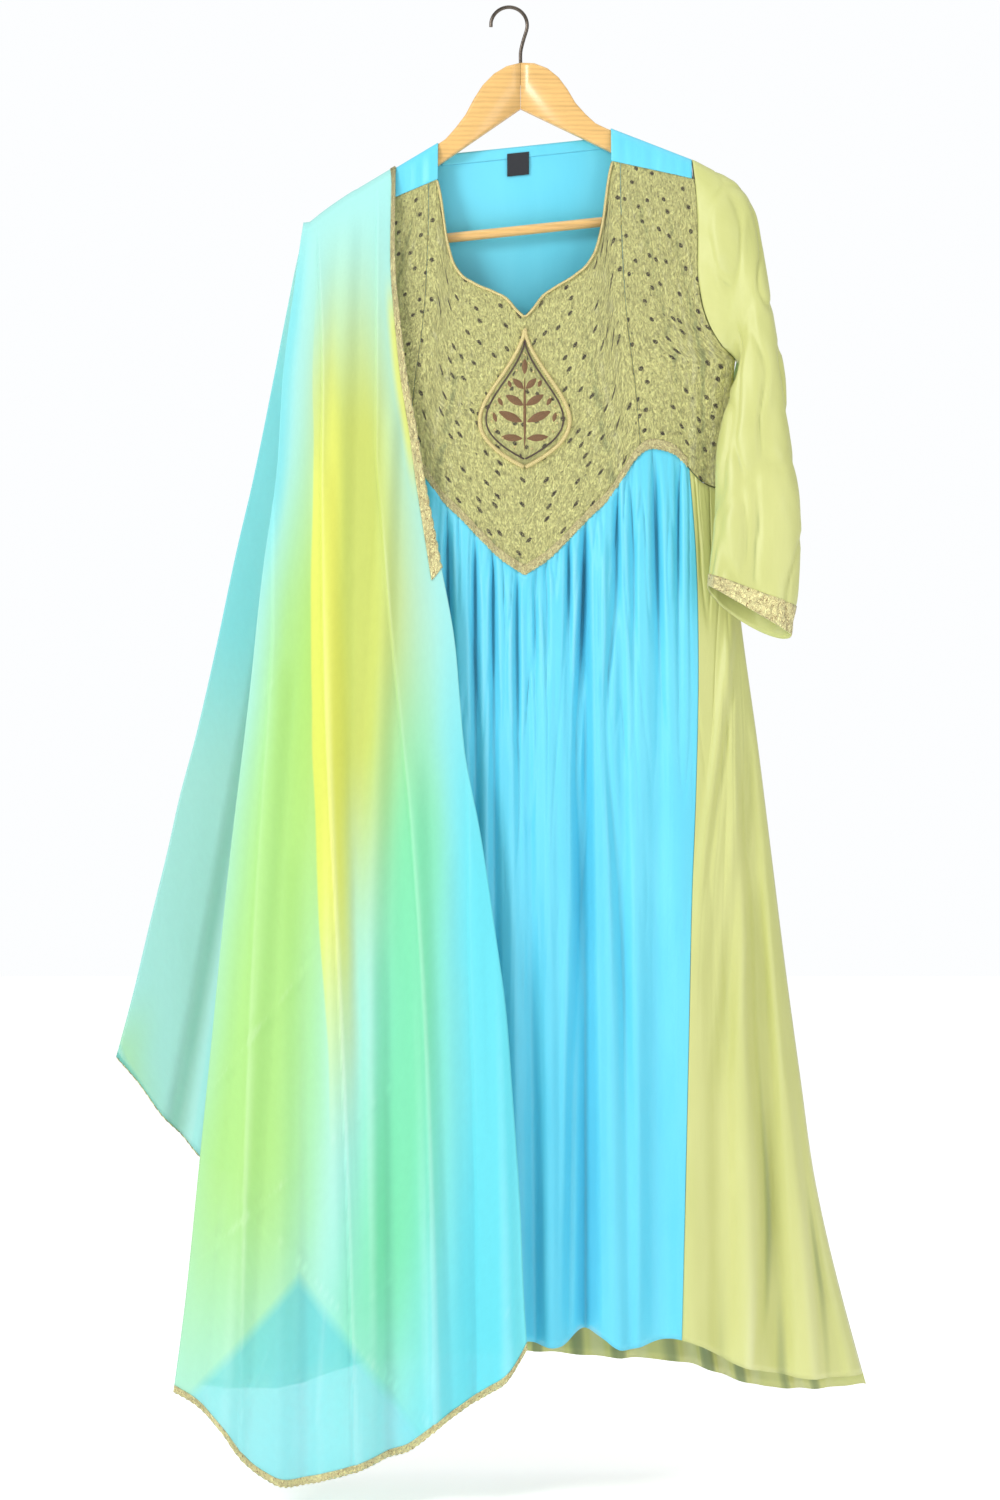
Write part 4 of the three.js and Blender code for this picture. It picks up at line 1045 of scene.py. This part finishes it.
def chiffon(name, bands, cover, low_edge):
    """Sheer cloth dyed in soft bands that run down it, glowing faintly in its own colour as painted light, with painted
    shade and highlight in its folds. Below `low_edge` only one layer hangs.
    """
    dyes = settings("dupatta")
    # the emission strength makes the chiffon glow faintly: painted light
    m = Material(name).set(Roughness=0.6, Sheen_Weight=0.05, Specular_IOR_Level=0.2, Emission_Strength=0.08)
    split = m.node("SeparateXYZ", {"Vector": m.node("UVMap", uv_map="Share").outputs["UV"]})
    at = m.place()
    wander = m.math("MULTIPLY_ADD", m.noise(m.scaled(at, (6, 6, 1.6)), 1.0, 3.0), 0.12, -0.06)
    across = m.plus(split.outputs["X"], wander)
    down = m.plus(split.outputs["Y"], m.times(wander, 0.5))
    color = dyes.aqua[:]
    for key, top, low, middle_top, middle_low, half_top, half_low, soft, strength in bands:
        t = m.math("DIVIDE", m.minus(down, top), low - top)
        middle = m.math("MULTIPLY_ADD", t, middle_low - middle_top, middle_top)
        half = m.math("MULTIPLY_ADD", t, half_low - half_top, half_top)
        off = m.math("DIVIDE", m.minus(across, middle), m.math("MAXIMUM", half, 0.01))
        inside = m.times(m.fade(off, -1.0, soft - 1.0), m.fade(off, 1.0, 0.1))
        along = m.times(m.fade(t, 0.0, 0.3), m.fade(t, 1.0, 0.65))
        share = m.times(m.times(inside, along), strength)
        color = m.mix(share, color, getattr(dyes, key)[:])
    edge = m.ramp(split.outputs["X"], *((place, (height, height, height)) for place, height in low_edge))
    below = m.times(m.minus(split.outputs["Y"], edge), 70.0, clamp=True)
    color = m.mix(m.times(below, 0.62), color, dyes.cyan[:])
    # painted shade in the folds' valleys and a painted highlight on their ridges
    color = m.folded(color, 0.22, 0.10, 1.5)
    m.link(color, "Base Color")
    # painted light: the chiffon glows in its own colour
    m.link(color, "Emission Color")
    thread = m.bump(weave_height(m, m.place("UV"), 10.0), 0.00005, 0.4)
    m.link(m.bump(m.noise(m.scaled(at, (60, 60, 14)), 1.0, 3.0), 0.0012, 0.4, thread), "Normal")
    thin = m.math("MULTIPLY_ADD", m.noise(m.place("UV"), 1.2, 2.0), 0.06, cover - 0.03)
    thin = m.plus(thin, m.times(m.fold(), -0.08))
    m.link(m.minus(thin, m.times(below, 0.22)), "Alpha")
    return m.data


# ---------- settings ----------
def color_setting(name, description, default):
    return bpy.props.FloatVectorProperty(
        name=name, description=description, default=dye(*default), size=3, min=0.0, max=1.0, subtype="COLOR")


class KurtaSettings(bpy.types.PropertyGroup):
    blue: color_setting("Blue satin", "Colour of the yokes, the back bodice and the gathered front", (108, 214, 238))
    blue_deep: color_setting("Blue in the folds", "Colour of the blue satin where its dye lies thicker", (86, 200, 228))
    green: color_setting("Green satin", "Colour of the side panels, the back skirt and the sleeves", (208, 210, 138))
    green_deep: color_setting(
        "Green in the folds", "Colour of the green satin where its dye lies thicker", (192, 196, 118))
    bodice: color_setting("Bodice cloth", "Ground colour of the printed bodice", (236, 232, 152))
    fleck: color_setting("Flecks", "Colour of the small flecks on the bodice and of the motif's stitches", (62, 52, 46))
    leaf: color_setting("Leaves", "Colour of the motif's stitched leaves", (150, 112, 76))
    trim: color_setting("Trim", "Light thread of the lace and the piping", (250, 236, 168))
    trim_dark: color_setting("Trim ground", "Dark thread of the lace", (146, 112, 62))
    scallop: bpy.props.FloatProperty(
        name="Scallop", description="Depth of the lace's wavy edge", default=0.0011, min=0.0, max=0.004, unit="LENGTH")


class DupattaSettings(bpy.types.PropertyGroup):
    aqua: color_setting("Pale aqua", "The chiffon's lightest dye, which lies under the others", (166, 226, 220))
    cyan: color_setting("Cyan", "Dye of the inner side and the low corners", (96, 214, 228))
    mint: color_setting("Mint", "Dye between the green and the cyan", (118, 218, 165))
    lime: color_setting("Lime", "Dye of the long green band", (172, 218, 104))
    yellow: color_setting("Yellow", "Dye of the narrow bright band", (226, 226, 100))
    olive: color_setting("Olive", "Dye below the shoulder", (200, 208, 98))
    cover: bpy.props.FloatProperty(
        name="Cover", description="How much of what is behind the chiffon it hides",
        default=0.88, min=0.3, max=1.0, subtype="FACTOR")
    lace_width: bpy.props.FloatProperty(
        name="Lace width", description="Width of the lace along the lower edges",
        default=0.006, min=0.004, max=0.03, unit="LENGTH")


class HangerSettings(bpy.types.PropertyGroup):
    wood: color_setting("Wood", "Colour of the lacquered wood", (230, 184, 112))
    steel: color_setting("Steel", "Colour of the hook's dark plating", (96, 88, 80))
    edge: bpy.props.FloatProperty(
        name="Edge rounding", description="Radius of the wood's rounded edges",
        default=0.0032, min=0.0005, max=0.005, unit="LENGTH")


class StudioSettings(bpy.types.PropertyGroup):
    distance: bpy.props.FloatProperty(
        name="Camera distance", description="From the camera to the hanger's plane",
        default=4.0, min=1.0, max=10.0, unit="LENGTH")
    view_height: bpy.props.FloatProperty(
        name="View height", description="Height that the camera takes in at the hanger's plane",
        default=1.65, min=0.5, max=4.0, unit="LENGTH")
    key_power: bpy.props.FloatProperty(
        name="Key light", description="Power of the large light", default=72.0, min=0.0, max=500.0, unit="POWER")
    floor: color_setting("Floor", "Colour of the floor", (250, 250, 250))


def settings(group):
    return getattr(bpy.context.scene, "kurta_set_" + group)


MADE = {}


def material(key):
    """Each finish is made once, from the settings, when the first piece asks for it."""
    if key not in MADE:
        kurta, hanger, dupatta = settings("kurta"), settings("hanger"), settings("dupatta")
        MADE[key] = {
            "blue": lambda: satin("Blue satin", kurta.blue[:], kurta.blue_deep[:]),
            "green": lambda: satin("Green satin", kurta.green[:], kurta.green_deep[:]),
            "print": lambda: printed("Bodice print", kurta.bodice[:], kurta.fleck[:]),
            "lace": lambda: lace_material("Gold lace", kurta.trim[:], kurta.trim_dark[:]),
            "cord": lambda: cord_material("Gold cord", kurta.trim[:], kurta.trim_dark[:]),
            "stitch": lambda: cord_material("Dark stitching", shade(kurta.fleck[:], 2.6), kurta.fleck[:]),
            "leaf": lambda: cord_material("Leaf stitching", kurta.leaf[:], kurta.fleck[:]),
            "label": lambda: label_material("Woven label", (0.012, 0.015, 0.022)),
            "wood": lambda: wood_material("Lacquered wood", hanger.wood[:]),
            "steel": lambda: steel_material("Dark plated steel", hanger.steel[:]),
            "front chiffon": lambda: chiffon("Front chiffon", FRONT_DYES, dupatta.cover, FRONT_LOW_EDGE),
            "back chiffon": lambda: chiffon("Back chiffon", BACK_DYES, dupatta.cover - 0.1, BACK_LOW_EDGE),
        }[key]()
    return MADE[key]


# The dupatta's dye bands, painted in turn over pale aqua: the dye, where the band starts and ends as a
# share of the length, its middle there as a share of the width from the outer edge, its half width
# there, how soft its outer side is, and its strength.
FRONT_DYES = (
    ("olive", 0.02, 0.66, 0.60, 0.50, 0.56, 0.34, 0.7, 0.95),
    ("lime", 0.14, 1.04, 0.28, 0.08, 0.28, 0.36, 0.8, 0.85),
    ("mint", 0.32, 1.05, 0.82, 0.50, 0.22, 0.28, 0.9, 0.85),
    ("cyan", 0.26, 1.25, 1.10, 0.78, 0.18, 0.40, 0.8, 0.90),
    ("yellow", 0.08, 0.76, 0.34, 0.45, 0.14, 0.06, 0.12, 0.85),
    ("yellow", 0.08, 0.27, 0.95, 0.92, 0.09, 0.05, 0.9, 0.80),
    ("cyan", 0.02, 0.36, 0.00, 0.00, 0.16, 0.08, 0.9, 0.50),
)
BACK_DYES = (
    ("cyan", 0.06, 0.62, 0.00, 0.15, 0.45, 0.35, 0.9, 0.65),
    ("mint", 0.20, 0.70, 0.95, 0.80, 0.30, 0.20, 0.9, 0.50),
    ("cyan", 0.52, 1.20, 0.85, 0.60, 0.40, 0.50, 0.8, 0.75),
    ("lime", 0.80, 1.10, 0.00, 0.00, 0.16, 0.30, 0.9, 0.45),
)
# Where the second layer of the folded chiffon ends, by share across.
FRONT_LOW_EDGE = ((0.0, 0.95), (0.05, 0.925), (0.33, 0.838), (0.46, 0.875), (0.70, 0.955), (0.8, 1.0))
BACK_LOW_EDGE = ((0.0, 0.86), (0.35, 1.0))


# ---------- the kurta's pieces ----------
BOTH_ARMS = ["hanger_arm_left", "hanger_arm_right"]
SIDES = (("left", 1), ("right", -1))


class KURTASET_OT_bodice(bpy.types.Operator):
    """Make the printed bodice: its centre panel and both side panels"""

    bl_idname = "kurta_set.bodice"
    bl_label = "Bodice"

    def execute(self, context):
        for node, surface, across, down, size in (
            ("bodice_front_centre", bodice_centre, 120, 110, (240, 300)),
            ("bodice_front_left", bodice_side(1), 60, 120, (110, 320)),
            ("bodice_front_right", bodice_side(-1), 60, 120, (110, 320)),
        ):
            sewn(node + "_cloth", node, surface, across, down, size, "print", "hung", BOTH_ARMS)
        return {"FINISHED"}


class KURTASET_OT_back(bpy.types.Operator):
    """Make the back bodice with the facing inside its neck, the woven label, and the back skirt"""

    bl_idname = "kurta_set.back"
    bl_label = "Back"

    def execute(self, context):
        sewn("bodice_back_cloth", "bodice_back", bodice_back, 110, 100, (460, 380), "blue", "hung", BOTH_ARMS, side=1)
        sewn("skirt_back_cloth", "skirt_back", skirt_back, 200, 110, (800, 1000), "green", "gathered",
             ["bodice_back_cloth"], side=1)

        def neck_strip(u, v):
            x = lerp(-91, 91, u)
            return hang(x, back_y(x, -155), lerp(-149.6, -161.5, v))

        strip = lifted(neck_strip, -LIFT, 1)
        sewn("neck_facing_cloth", "back_neck_facing", strip, 90, 6, (182, 12), "blue", "stretched",
             ["bodice_back_cloth"], side=1)

        def tag(u, v):
            x, z = -7 + (u - 0.5) * 24, lerp(-156, -181, v)
            return hang(x, back_y(x, z) - 2.2 - 0.5 * math.sin(math.pi * v), z)

        sewn("label_cloth", "label", tag, 16, 16, (24, 25), "label", "stretched", ["neck_facing_cloth"], thick=TRIM)
        return {"FINISHED"}


class KURTASET_OT_yokes(bpy.types.Operator):
    """Make the blue yokes, gathered into their front seams"""

    bl_idname = "kurta_set.yokes"
    bl_label = "Yokes"

    def execute(self, context):
        for side, sign in SIDES:
            sewn("yoke_" + side + "_cloth", "yoke_" + side, yoke(sign), 60, 24, (100, 60), "blue", "hung",
                 ["hanger_arm_" + side])
        return {"FINISHED"}


class KURTASET_OT_skirt(bpy.types.Operator):
    """Make the gathered blue front of the skirt and its green side panels"""

    bl_idname = "kurta_set.skirt"
    bl_label = "Skirt front"

    def execute(self, context):
        sewn("skirt_front_centre_cloth", "skirt_front_centre", skirt_centre, 280, 130, (380, 950), "blue", "gathered",
             ["bodice_front_centre_cloth"])
        for side, sign in SIDES:
            sewn("skirt_front_" + side + "_cloth", "skirt_front_" + side, skirt_side(sign), 80, 130, (190, 980),
                 "green", "gathered", ["bodice_front_" + side + "_cloth"])
        return {"FINISHED"}


class KURTASET_OT_sleeves(bpy.types.Operator):
    """Make both sleeves, open at the armhole and at the cuff"""

    bl_idname = "kurta_set.sleeves"
    bl_label = "Sleeves"

    def execute(self, context):
        for side, sign in SIDES:
            sewn("sleeve_" + side + "_cloth", "sleeve_" + side, sleeve(sign), 90, 110, (220, 460), "green", "hung",
                 ["yoke_" + side + "_cloth"], ring=True)
        return {"FINISHED"}


def trim_strip(name, surface, length, width, count, node, side=-1, ring=False):
    """A strip of lace over surface(u, v), with a raised edge cord and a scalloped free edge."""
    deep = settings("kurta").scallop / MM

    def raised(u, v):
        wave = abs(math.sin(u * length / SCALLOP_LENGTH * math.pi))
        point = surface(u, v + (deep / width) * wave * smooth((v - 0.5) * 2))
        braid = 0.30 * math.sin(u * length * 1.9) * math.sin(v * 9)
        rim = 0.35 * math.exp(-((v - 0.12) / 0.1) ** 2) + 0.35 * math.exp(-((v - 0.85) / 0.1) ** 2)
        return point + Vector((0, side * (braid + rim) * MM, 0))

    piece = cloth(name, raised, count, 8, (length, width), "lace", side=side, ring=ring, thick=TRIM)
    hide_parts(node)


class KURTASET_OT_trims(bpy.types.Operator):
    """Make the lace on the bodice's pointed hem and the cuffs, and the piping round the neck"""

    bl_idname = "kurta_set.trims"
    bl_label = "Lace and piping"

    def execute(self, context):
        def hem(u, v):
            x = lerp(-178, 178, u)
            return on_front(x, bodice_hem_at(x) + lerp(8, -3, v))

        trim_strip("bodice_hem_lace_strip", lifted(hem, LIFT, -1), 560, 11, 420, "bodice_hem_lace")
        for side, sign in SIDES:
            arm = sleeve(sign)

            def cuff(u, v, arm=arm, sign=sign):
                at = arm(u, lerp(CUFF_LACE_FROM, 1.0, clamp(v, 0, 1)))
                turn = 2 * math.pi * (u if sign > 0 else -u)
                return at + Vector((sign * math.cos(turn), -math.sin(turn), 0)) * (LIFT * MM)

            trim_strip("cuff_lace_" + side + "_strip", cuff, 210, 10, 200, "cuff_lace_" + side, ring=True)
        half = [(x + 1.3, NECKLINE(x) - 1.3) for x in (0.6 + 94 * i / 70 for i in range(71))]
        run = [(-x, z) for x, z in reversed(half)] + half
        points = [hang(x, bodice_y(x, z) - 1.7, z) for x, z in run]
        piece = cord_piece("neck_piping_cord", points, PIPING_RADIUS, material("cord"), 12)
        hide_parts("neck_piping")
        return {"FINISHED"}


def motif_half(v):
    return max(0.8, MOTIF_HALF * max(0.0, math.sin(math.pi * v**1.7)) ** 0.9)


def motif_point(x, z, lift):
    """A point `lift` off the motif's padded face, at x and z of the bodice."""
    v = clamp((MOTIF_TOP - z) / (MOTIF_TOP - MOTIF_LOW), 0, 1)
    share = clamp(abs(x) / motif_half(v), 0, 1)
    pad = 3.0 * (1 - share**3) * math.sin(math.pi * v) ** 0.6
    return hang(x, bodice_y(x, z) - 1.0 - pad - lift, z)


def motif_face(u, v):
    return motif_point((2 * u - 1) * motif_half(v), lerp(MOTIF_TOP, MOTIF_LOW, v), 0)


def motif_ring(size, lift, count=60):
    """The motif's outline, drawn `size` times as large round its middle."""
    middle = lerp(MOTIF_TOP, MOTIF_LOW, 0.58)
    shares = [i / count for i in range(count + 1)]
    outline = [(motif_half(v), v) for v in reversed(shares)] + [(-motif_half(v), v) for v in shares[1:]]
    return [motif_point(size * x, lerp(middle, lerp(MOTIF_TOP, MOTIF_LOW, v), size), lift) for x, v in outline]


# The stitched leaves: x and z of the foot, the run across and down to the tip, and the half width.
MOTIF_LEAVES = (
    (0, -406, 0, 18, 3.4), (0, -492, 0, 88, 1.8),
    (1, -422, 12, 12, 4.0), (1, -440, 20, 12, 4.8), (2, -458, 27, 12, 5.2), (2, -476, 24, 2, 4.4),
    (15, -420, 3, 8, 2.4), (24, -440, 5, 9, 2.6), (31, -458, 3, 11, 2.6),
)


def motif_leaf(bm, x, z, across, down, half):
    """One padded leaf, from its foot to its tip."""
    length = math.hypot(across, down)
    rows = []
    for i in range(11):
        t = i / 10
        wide = half * math.sin(math.pi * clamp(t, 0.02, 0.98)) ** 0.8
        row = []
        for j in range(5):
            s = j / 2 - 1
            at_x = x + across * t - down / length * wide * s
            at_z = z + down * t + across / length * wide * s
            row.append(bm.verts.new(motif_point(at_x, at_z, 0.1 + 1.3 * (1 - s * s) * math.sin(math.pi * t) ** 0.5)))
        rows.append(row)
    for a, b in zip(rows, rows[1:]):
        for j in range(4):
            bm.faces.new((a[j], a[j + 1], b[j + 1], b[j]))
    bm.normal_update()


class KURTASET_OT_motif(bpy.types.Operator):
    """Make the padded drop below the neck, its cord edge and its stitched rows and beads"""

    bl_idname = "kurta_set.motif"
    bl_label = "Motif"

    def execute(self, context):
        face = cloth("motif_face", motif_face, 40, 60, (100, 150), "print", thick=TRIM)
        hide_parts("motif")
        edge = cord_piece("motif_edge_cord", motif_ring(1.0, 0.9), BRAID_RADIUS, material("cord"), 12)
        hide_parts("motif_braid")
        cord_piece("motif_inner_cord", motif_ring(0.86, 0.5), STITCH_RADIUS, material("stitch"), 8)
        bm = bmesh.new()
        for x, z, across, down, half in MOTIF_LEAVES:
            for side in (-1, 1) if across else (1,):
                motif_leaf(bm, side * x, z, side * across, down, half)
        finish_mesh("motif_leaves", bm, material("leaf"))
        bm = bmesh.new()
        for i, at in enumerate(motif_ring(0.74, 0.8)):
            if i % 5 == 2:
                made = bmesh.ops.create_icosphere(bm, subdivisions=2, radius=BEAD_RADIUS * MM)
                bmesh.ops.translate(bm, verts=made["verts"], vec=at)
        finish_mesh("motif_beads", bm, material("cord"))
        return {"FINISHED"}


class KURTASET_OT_dupatta(bpy.types.Operator):
    """Make the sheer dupatta's two falls and the lace along its edges"""

    bl_idname = "kurta_set.dupatta"
    bl_label = "Dupatta"

    def execute(self, context):
        wide = settings("dupatta").lace_width
        for name, surface, across, down, size, side in (
            ("front", front_fall, 150, 220, (380, 1450), -1),
            ("back", back_fall, 80, 150, (280, 1150), 1),
        ):
            finish = name + " chiffon"
            piece = cloth("dupatta_" + name + "_chiffon", surface, across, down, size, finish, side=side, thick=CHIFFON)
            share_map(piece)
            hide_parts("dupatta_" + name)
            share = wide / (size[1] * MM)

            def low(u, v, surface=surface, share=share):
                return surface(u, 1 - share * (1 - v))

            strip = "dupatta_" + name + "_lace_strip"
            trim_strip(strip, lifted(low, LIFT, side), size[0] * 1.1, wide / MM, 260, "dupatta_lace_" + name, side=side)
            declare(surface)

        def edge(u, v):
            width = 0.035 + 0.05 * abs(v - 0.3)
            return front_fall(1 - width * (1 - u), lerp(0.03, 0.5, v))

        turned = lifted(edge, LIFT, -1)
        trim_strip("dupatta_side_lace_strip", lambda u, v: turned(v, u), 420, 10, 300, "dupatta_lace_side")
        return {"FINISHED"}


def share_map(piece):
    """A second UV map that gives each point's share across the fall and its share down it."""
    mesh = piece.data
    base = mesh.uv_layers["UVMap"].data
    share = mesh.uv_layers.new(name="Share").data
    top = max(v.co.z for v in mesh.vertices)
    low = min(v.co.z for v in mesh.vertices)
    width = max(loop.uv.x for loop in base)
    for loop in mesh.loops:
        z = mesh.vertices[loop.vertex_index].co.z
        share[loop.index].uv = (base[loop.index].uv.x / width, (top - z) / (top - low))


# ---------- the hanger ----------
WOOD_TOP_Z = -59.6
WOOD_HALF = 6.0
HOOK_TURN_RADIUS, HOOK_TURN_Z = 20, -18
STEM_X = KURTA_X + HANGER_X
ARM_OUTLINE = (
    (0.15, 0), (15, -2), (29.4, -9), (41.8, -20.4), (51.7, -34.7), (60.5, -50.6), (71.5, -64),
    (82.5, -75.2), (94.6, -82.2), (135, -102.2), (176, -122.4), (182, -128), (187.5, -136), (190, -148),
    (189, -172), (180, -190), (168, -196.5), (156, -194), (150, -184), (147, -150), (138, -131.5),
    (69, -91), (0.15, -50.8),
)


class KURTASET_OT_hanger(bpy.types.Operator):
    """Make the wooden arms with rounded edges and the bent wire hook, and give the bar its wood"""

    bl_idname = "kurta_set.hanger"
    bl_label = "Hanger"

    def execute(self, context):
        for side, sign in SIDES:
            bm = bmesh.new()
            corners = []
            for x, z in ARM_OUTLINE:
                across = sign * x + HANGER_X + KURTA_X
                corners.append(bm.verts.new((across * MM, -WOOD_HALF * MM, (WOOD_TOP_Z + z + TILT * sign * x) * MM)))
            made = bmesh.ops.extrude_face_region(bm, geom=[bm.faces.new(corners)])
            moved = [v for v in made["geom"] if isinstance(v, bmesh.types.BMVert)]
            bmesh.ops.translate(bm, verts=moved, vec=(0, 2 * WOOD_HALF * MM, 0))
            bmesh.ops.recalc_face_normals(bm, faces=bm.faces)
            # every edge along the faces is rounded, except where the two arms meet
            rims = [
                e for e in bm.edges
                if abs(e.verts[0].co.y - e.verts[1].co.y) < 1e-6
                and max(abs(v.co.x - STEM_X * MM) for v in e.verts) > 0.001
            ]
            bmesh.ops.bevel(
                bm, geom=rims, offset=settings("hanger").edge, segments=4, profile=0.5, affect="EDGES", material=-1)
            bmesh.ops.remove_doubles(bm, verts=bm.verts, dist=1e-6)
            bmesh.ops.recalc_face_normals(bm, faces=bm.faces)
            piece = finish_mesh("hanger_arm_" + side + "_wood", bm, material("wood"))
            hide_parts("hanger_arm_" + side)
        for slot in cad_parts["hanger_bar"].material_slots:
            slot.material = material("wood")
        points = [(STEM_X, 0, WOOD_TOP_Z - 24), (STEM_X, 0, WOOD_TOP_Z), (STEM_X + 0.2, 0, -47), (STEM_X + 3, 0, -35)]
        for i in range(12):
            turn = math.radians(-15 + 200 * i / 11)
            points.append((HOOK_TURN_RADIUS * math.cos(turn), 0, HOOK_TURN_Z + HOOK_TURN_RADIUS * math.sin(turn)))
        run = smooth_run([Vector(p) * MM for p in points], 8)
        piece = cord_piece("hanger_hook_wire", run, WIRE_RADIUS, material("steel"), 16)
        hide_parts("hanger_hook")
        return {"FINISHED"}


def smooth_run(points, steps):
    """More points along a smooth curve through the given ones."""
    run = []
    for i in range(len(points) - 1):
        a, b = points[i], points[i + 1]
        before = points[i - 1] if i else a * 2 - b
        after = points[i + 2] if i + 2 < len(points) else b * 2 - a
        run += [spline(before, a, b, after, k / steps) for k in range(steps)]
    return run + [points[-1]]


# ---------- stage ----------
CAMERA_X, CAMERA_Z = -0.0099, -0.8151
SENSOR_WIDTH = 36.0
FLOOR_Z, FLOOR_HALF = -1.625, 9.0
LIGHTS_AIM = (0, 0, -0.8)
# name, place, share of the key light's power, and size
LIGHTS = (
    ("Key", (-2.6, -2.6, 1.0), 1.0, 1.1),
    ("Fill", (2.8, -3.4, 0.4), 0.35, 2.0),
    ("Top", (0.2, -0.6, 2.4), 0.3, 2.0),
)


class KURTASET_OT_stage(bpy.types.Operator):
    """Set the camera, the pale floor, the white surroundings and the soft studio lights"""

    bl_idname = "kurta_set.stage"
    bl_label = "Stage"

    def execute(self, context):
        studio = settings("studio")
        scene = context.scene
        camera_data = bpy.data.cameras.new("Camera")
        camera = linked("Camera", camera_data)
        camera.location = (CAMERA_X, -studio.distance, CAMERA_Z)
        camera.rotation_euler = (math.radians(90), 0, 0)
        camera_data.sensor_width = SENSOR_WIDTH
        camera_data.lens = SENSOR_WIDTH * studio.distance / studio.view_height
        camera_data.clip_end = 100.0
        scene.camera = camera

        paper = bpy.data.materials.new("Studio paper")
        paper.use_nodes = True
        shader = paper.node_tree.nodes["Principled BSDF"]
        shader.inputs["Base Color"].default_value = (*studio.floor, 1)
        shader.inputs["Roughness"].default_value = 0.9
        shader.inputs["Emission Color"].default_value = (1, 1, 1, 1)
        shader.inputs["Emission Strength"].default_value = 0.5
        bm = bmesh.new()
        bmesh.ops.create_grid(bm, x_segments=2, y_segments=2, size=FLOOR_HALF)
        bmesh.ops.translate(bm, verts=bm.verts, vec=(0, 0, FLOOR_Z))
        mesh = bpy.data.meshes.new("Floor")
        bm.to_mesh(mesh)
        bm.free()
        mesh.materials.append(paper)
        floor = linked("Floor", mesh)

        world = bpy.data.worlds.new("Studio")
        world.use_nodes = True
        # The surroundings look white, and light the cloth less than that, so that the folds keep their shade.
        nodes, links = world.node_tree.nodes, world.node_tree.links
        background = nodes["Background"]
        path, strength = nodes.new("ShaderNodeLightPath"), nodes.new("ShaderNodeMapRange")
        background.inputs["Color"].default_value = (0.98, 0.99, 1.0, 1)
        strength.inputs["To Min"].default_value, strength.inputs["To Max"].default_value = 0.55, 1.0
        links.new(path.outputs["Is Camera Ray"], strength.inputs["Value"])
        links.new(strength.outputs["Result"], background.inputs["Strength"])
        scene.view_settings.view_transform = "Standard"
        scene.world = world
        for name, place, share, size in LIGHTS:
            light = bpy.data.lights.new(name, "AREA")
            light.energy = studio.key_power * share
            light.size = size
            holder = linked(name, light)
            holder.location = place
            holder.rotation_euler = (Vector(LIGHTS_AIM) - Vector(place)).to_track_quat("-Z", "Y").to_euler()
        return {"FINISHED"}


OPERATORS = (
    KURTASET_OT_stage, KURTASET_OT_hanger, KURTASET_OT_bodice, KURTASET_OT_back, KURTASET_OT_yokes,
    KURTASET_OT_skirt, KURTASET_OT_sleeves, KURTASET_OT_trims, KURTASET_OT_motif, KURTASET_OT_dupatta,
)
GROUPS = (
    ("kurta", KurtaSettings), ("dupatta", DupattaSettings), ("hanger", HangerSettings), ("studio", StudioSettings),
)


class KURTASET_PT_panel(bpy.types.Panel):
    """The pieces of the kurta set, with the sizes and colours they are made from"""

    bl_idname = "KURTASET_PT_panel"
    bl_label = "Kurta set"
    bl_space_type = "VIEW_3D"
    bl_region_type = "UI"
    bl_category = "Kurta set"

    def draw(self, context):
        for name, group in GROUPS:
            box = self.layout.box()
            box.label(text=name.title())
            for key in group.__annotations__:
                box.prop(settings(name), key)
        for operator in OPERATORS:
            self.layout.operator(operator.bl_idname)


def register():
    for name, group in GROUPS:
        bpy.utils.register_class(group)
        setattr(bpy.types.Scene, "kurta_set_" + name, bpy.props.PointerProperty(type=group))
    for cls in (*OPERATORS, KURTASET_PT_panel):
        bpy.utils.register_class(cls)


def unregister():
    for cls in reversed((*OPERATORS, KURTASET_PT_panel)):
        bpy.utils.unregister_class(cls)
    for name, group in reversed(GROUPS):
        delattr(bpy.types.Scene, "kurta_set_" + name)
        bpy.utils.unregister_class(group)


def main():
    register()
    for operator in OPERATORS:
        group, name = operator.bl_idname.split(".")
        getattr(getattr(bpy.ops, group), name)()


if __name__ == "__main__":
    main()
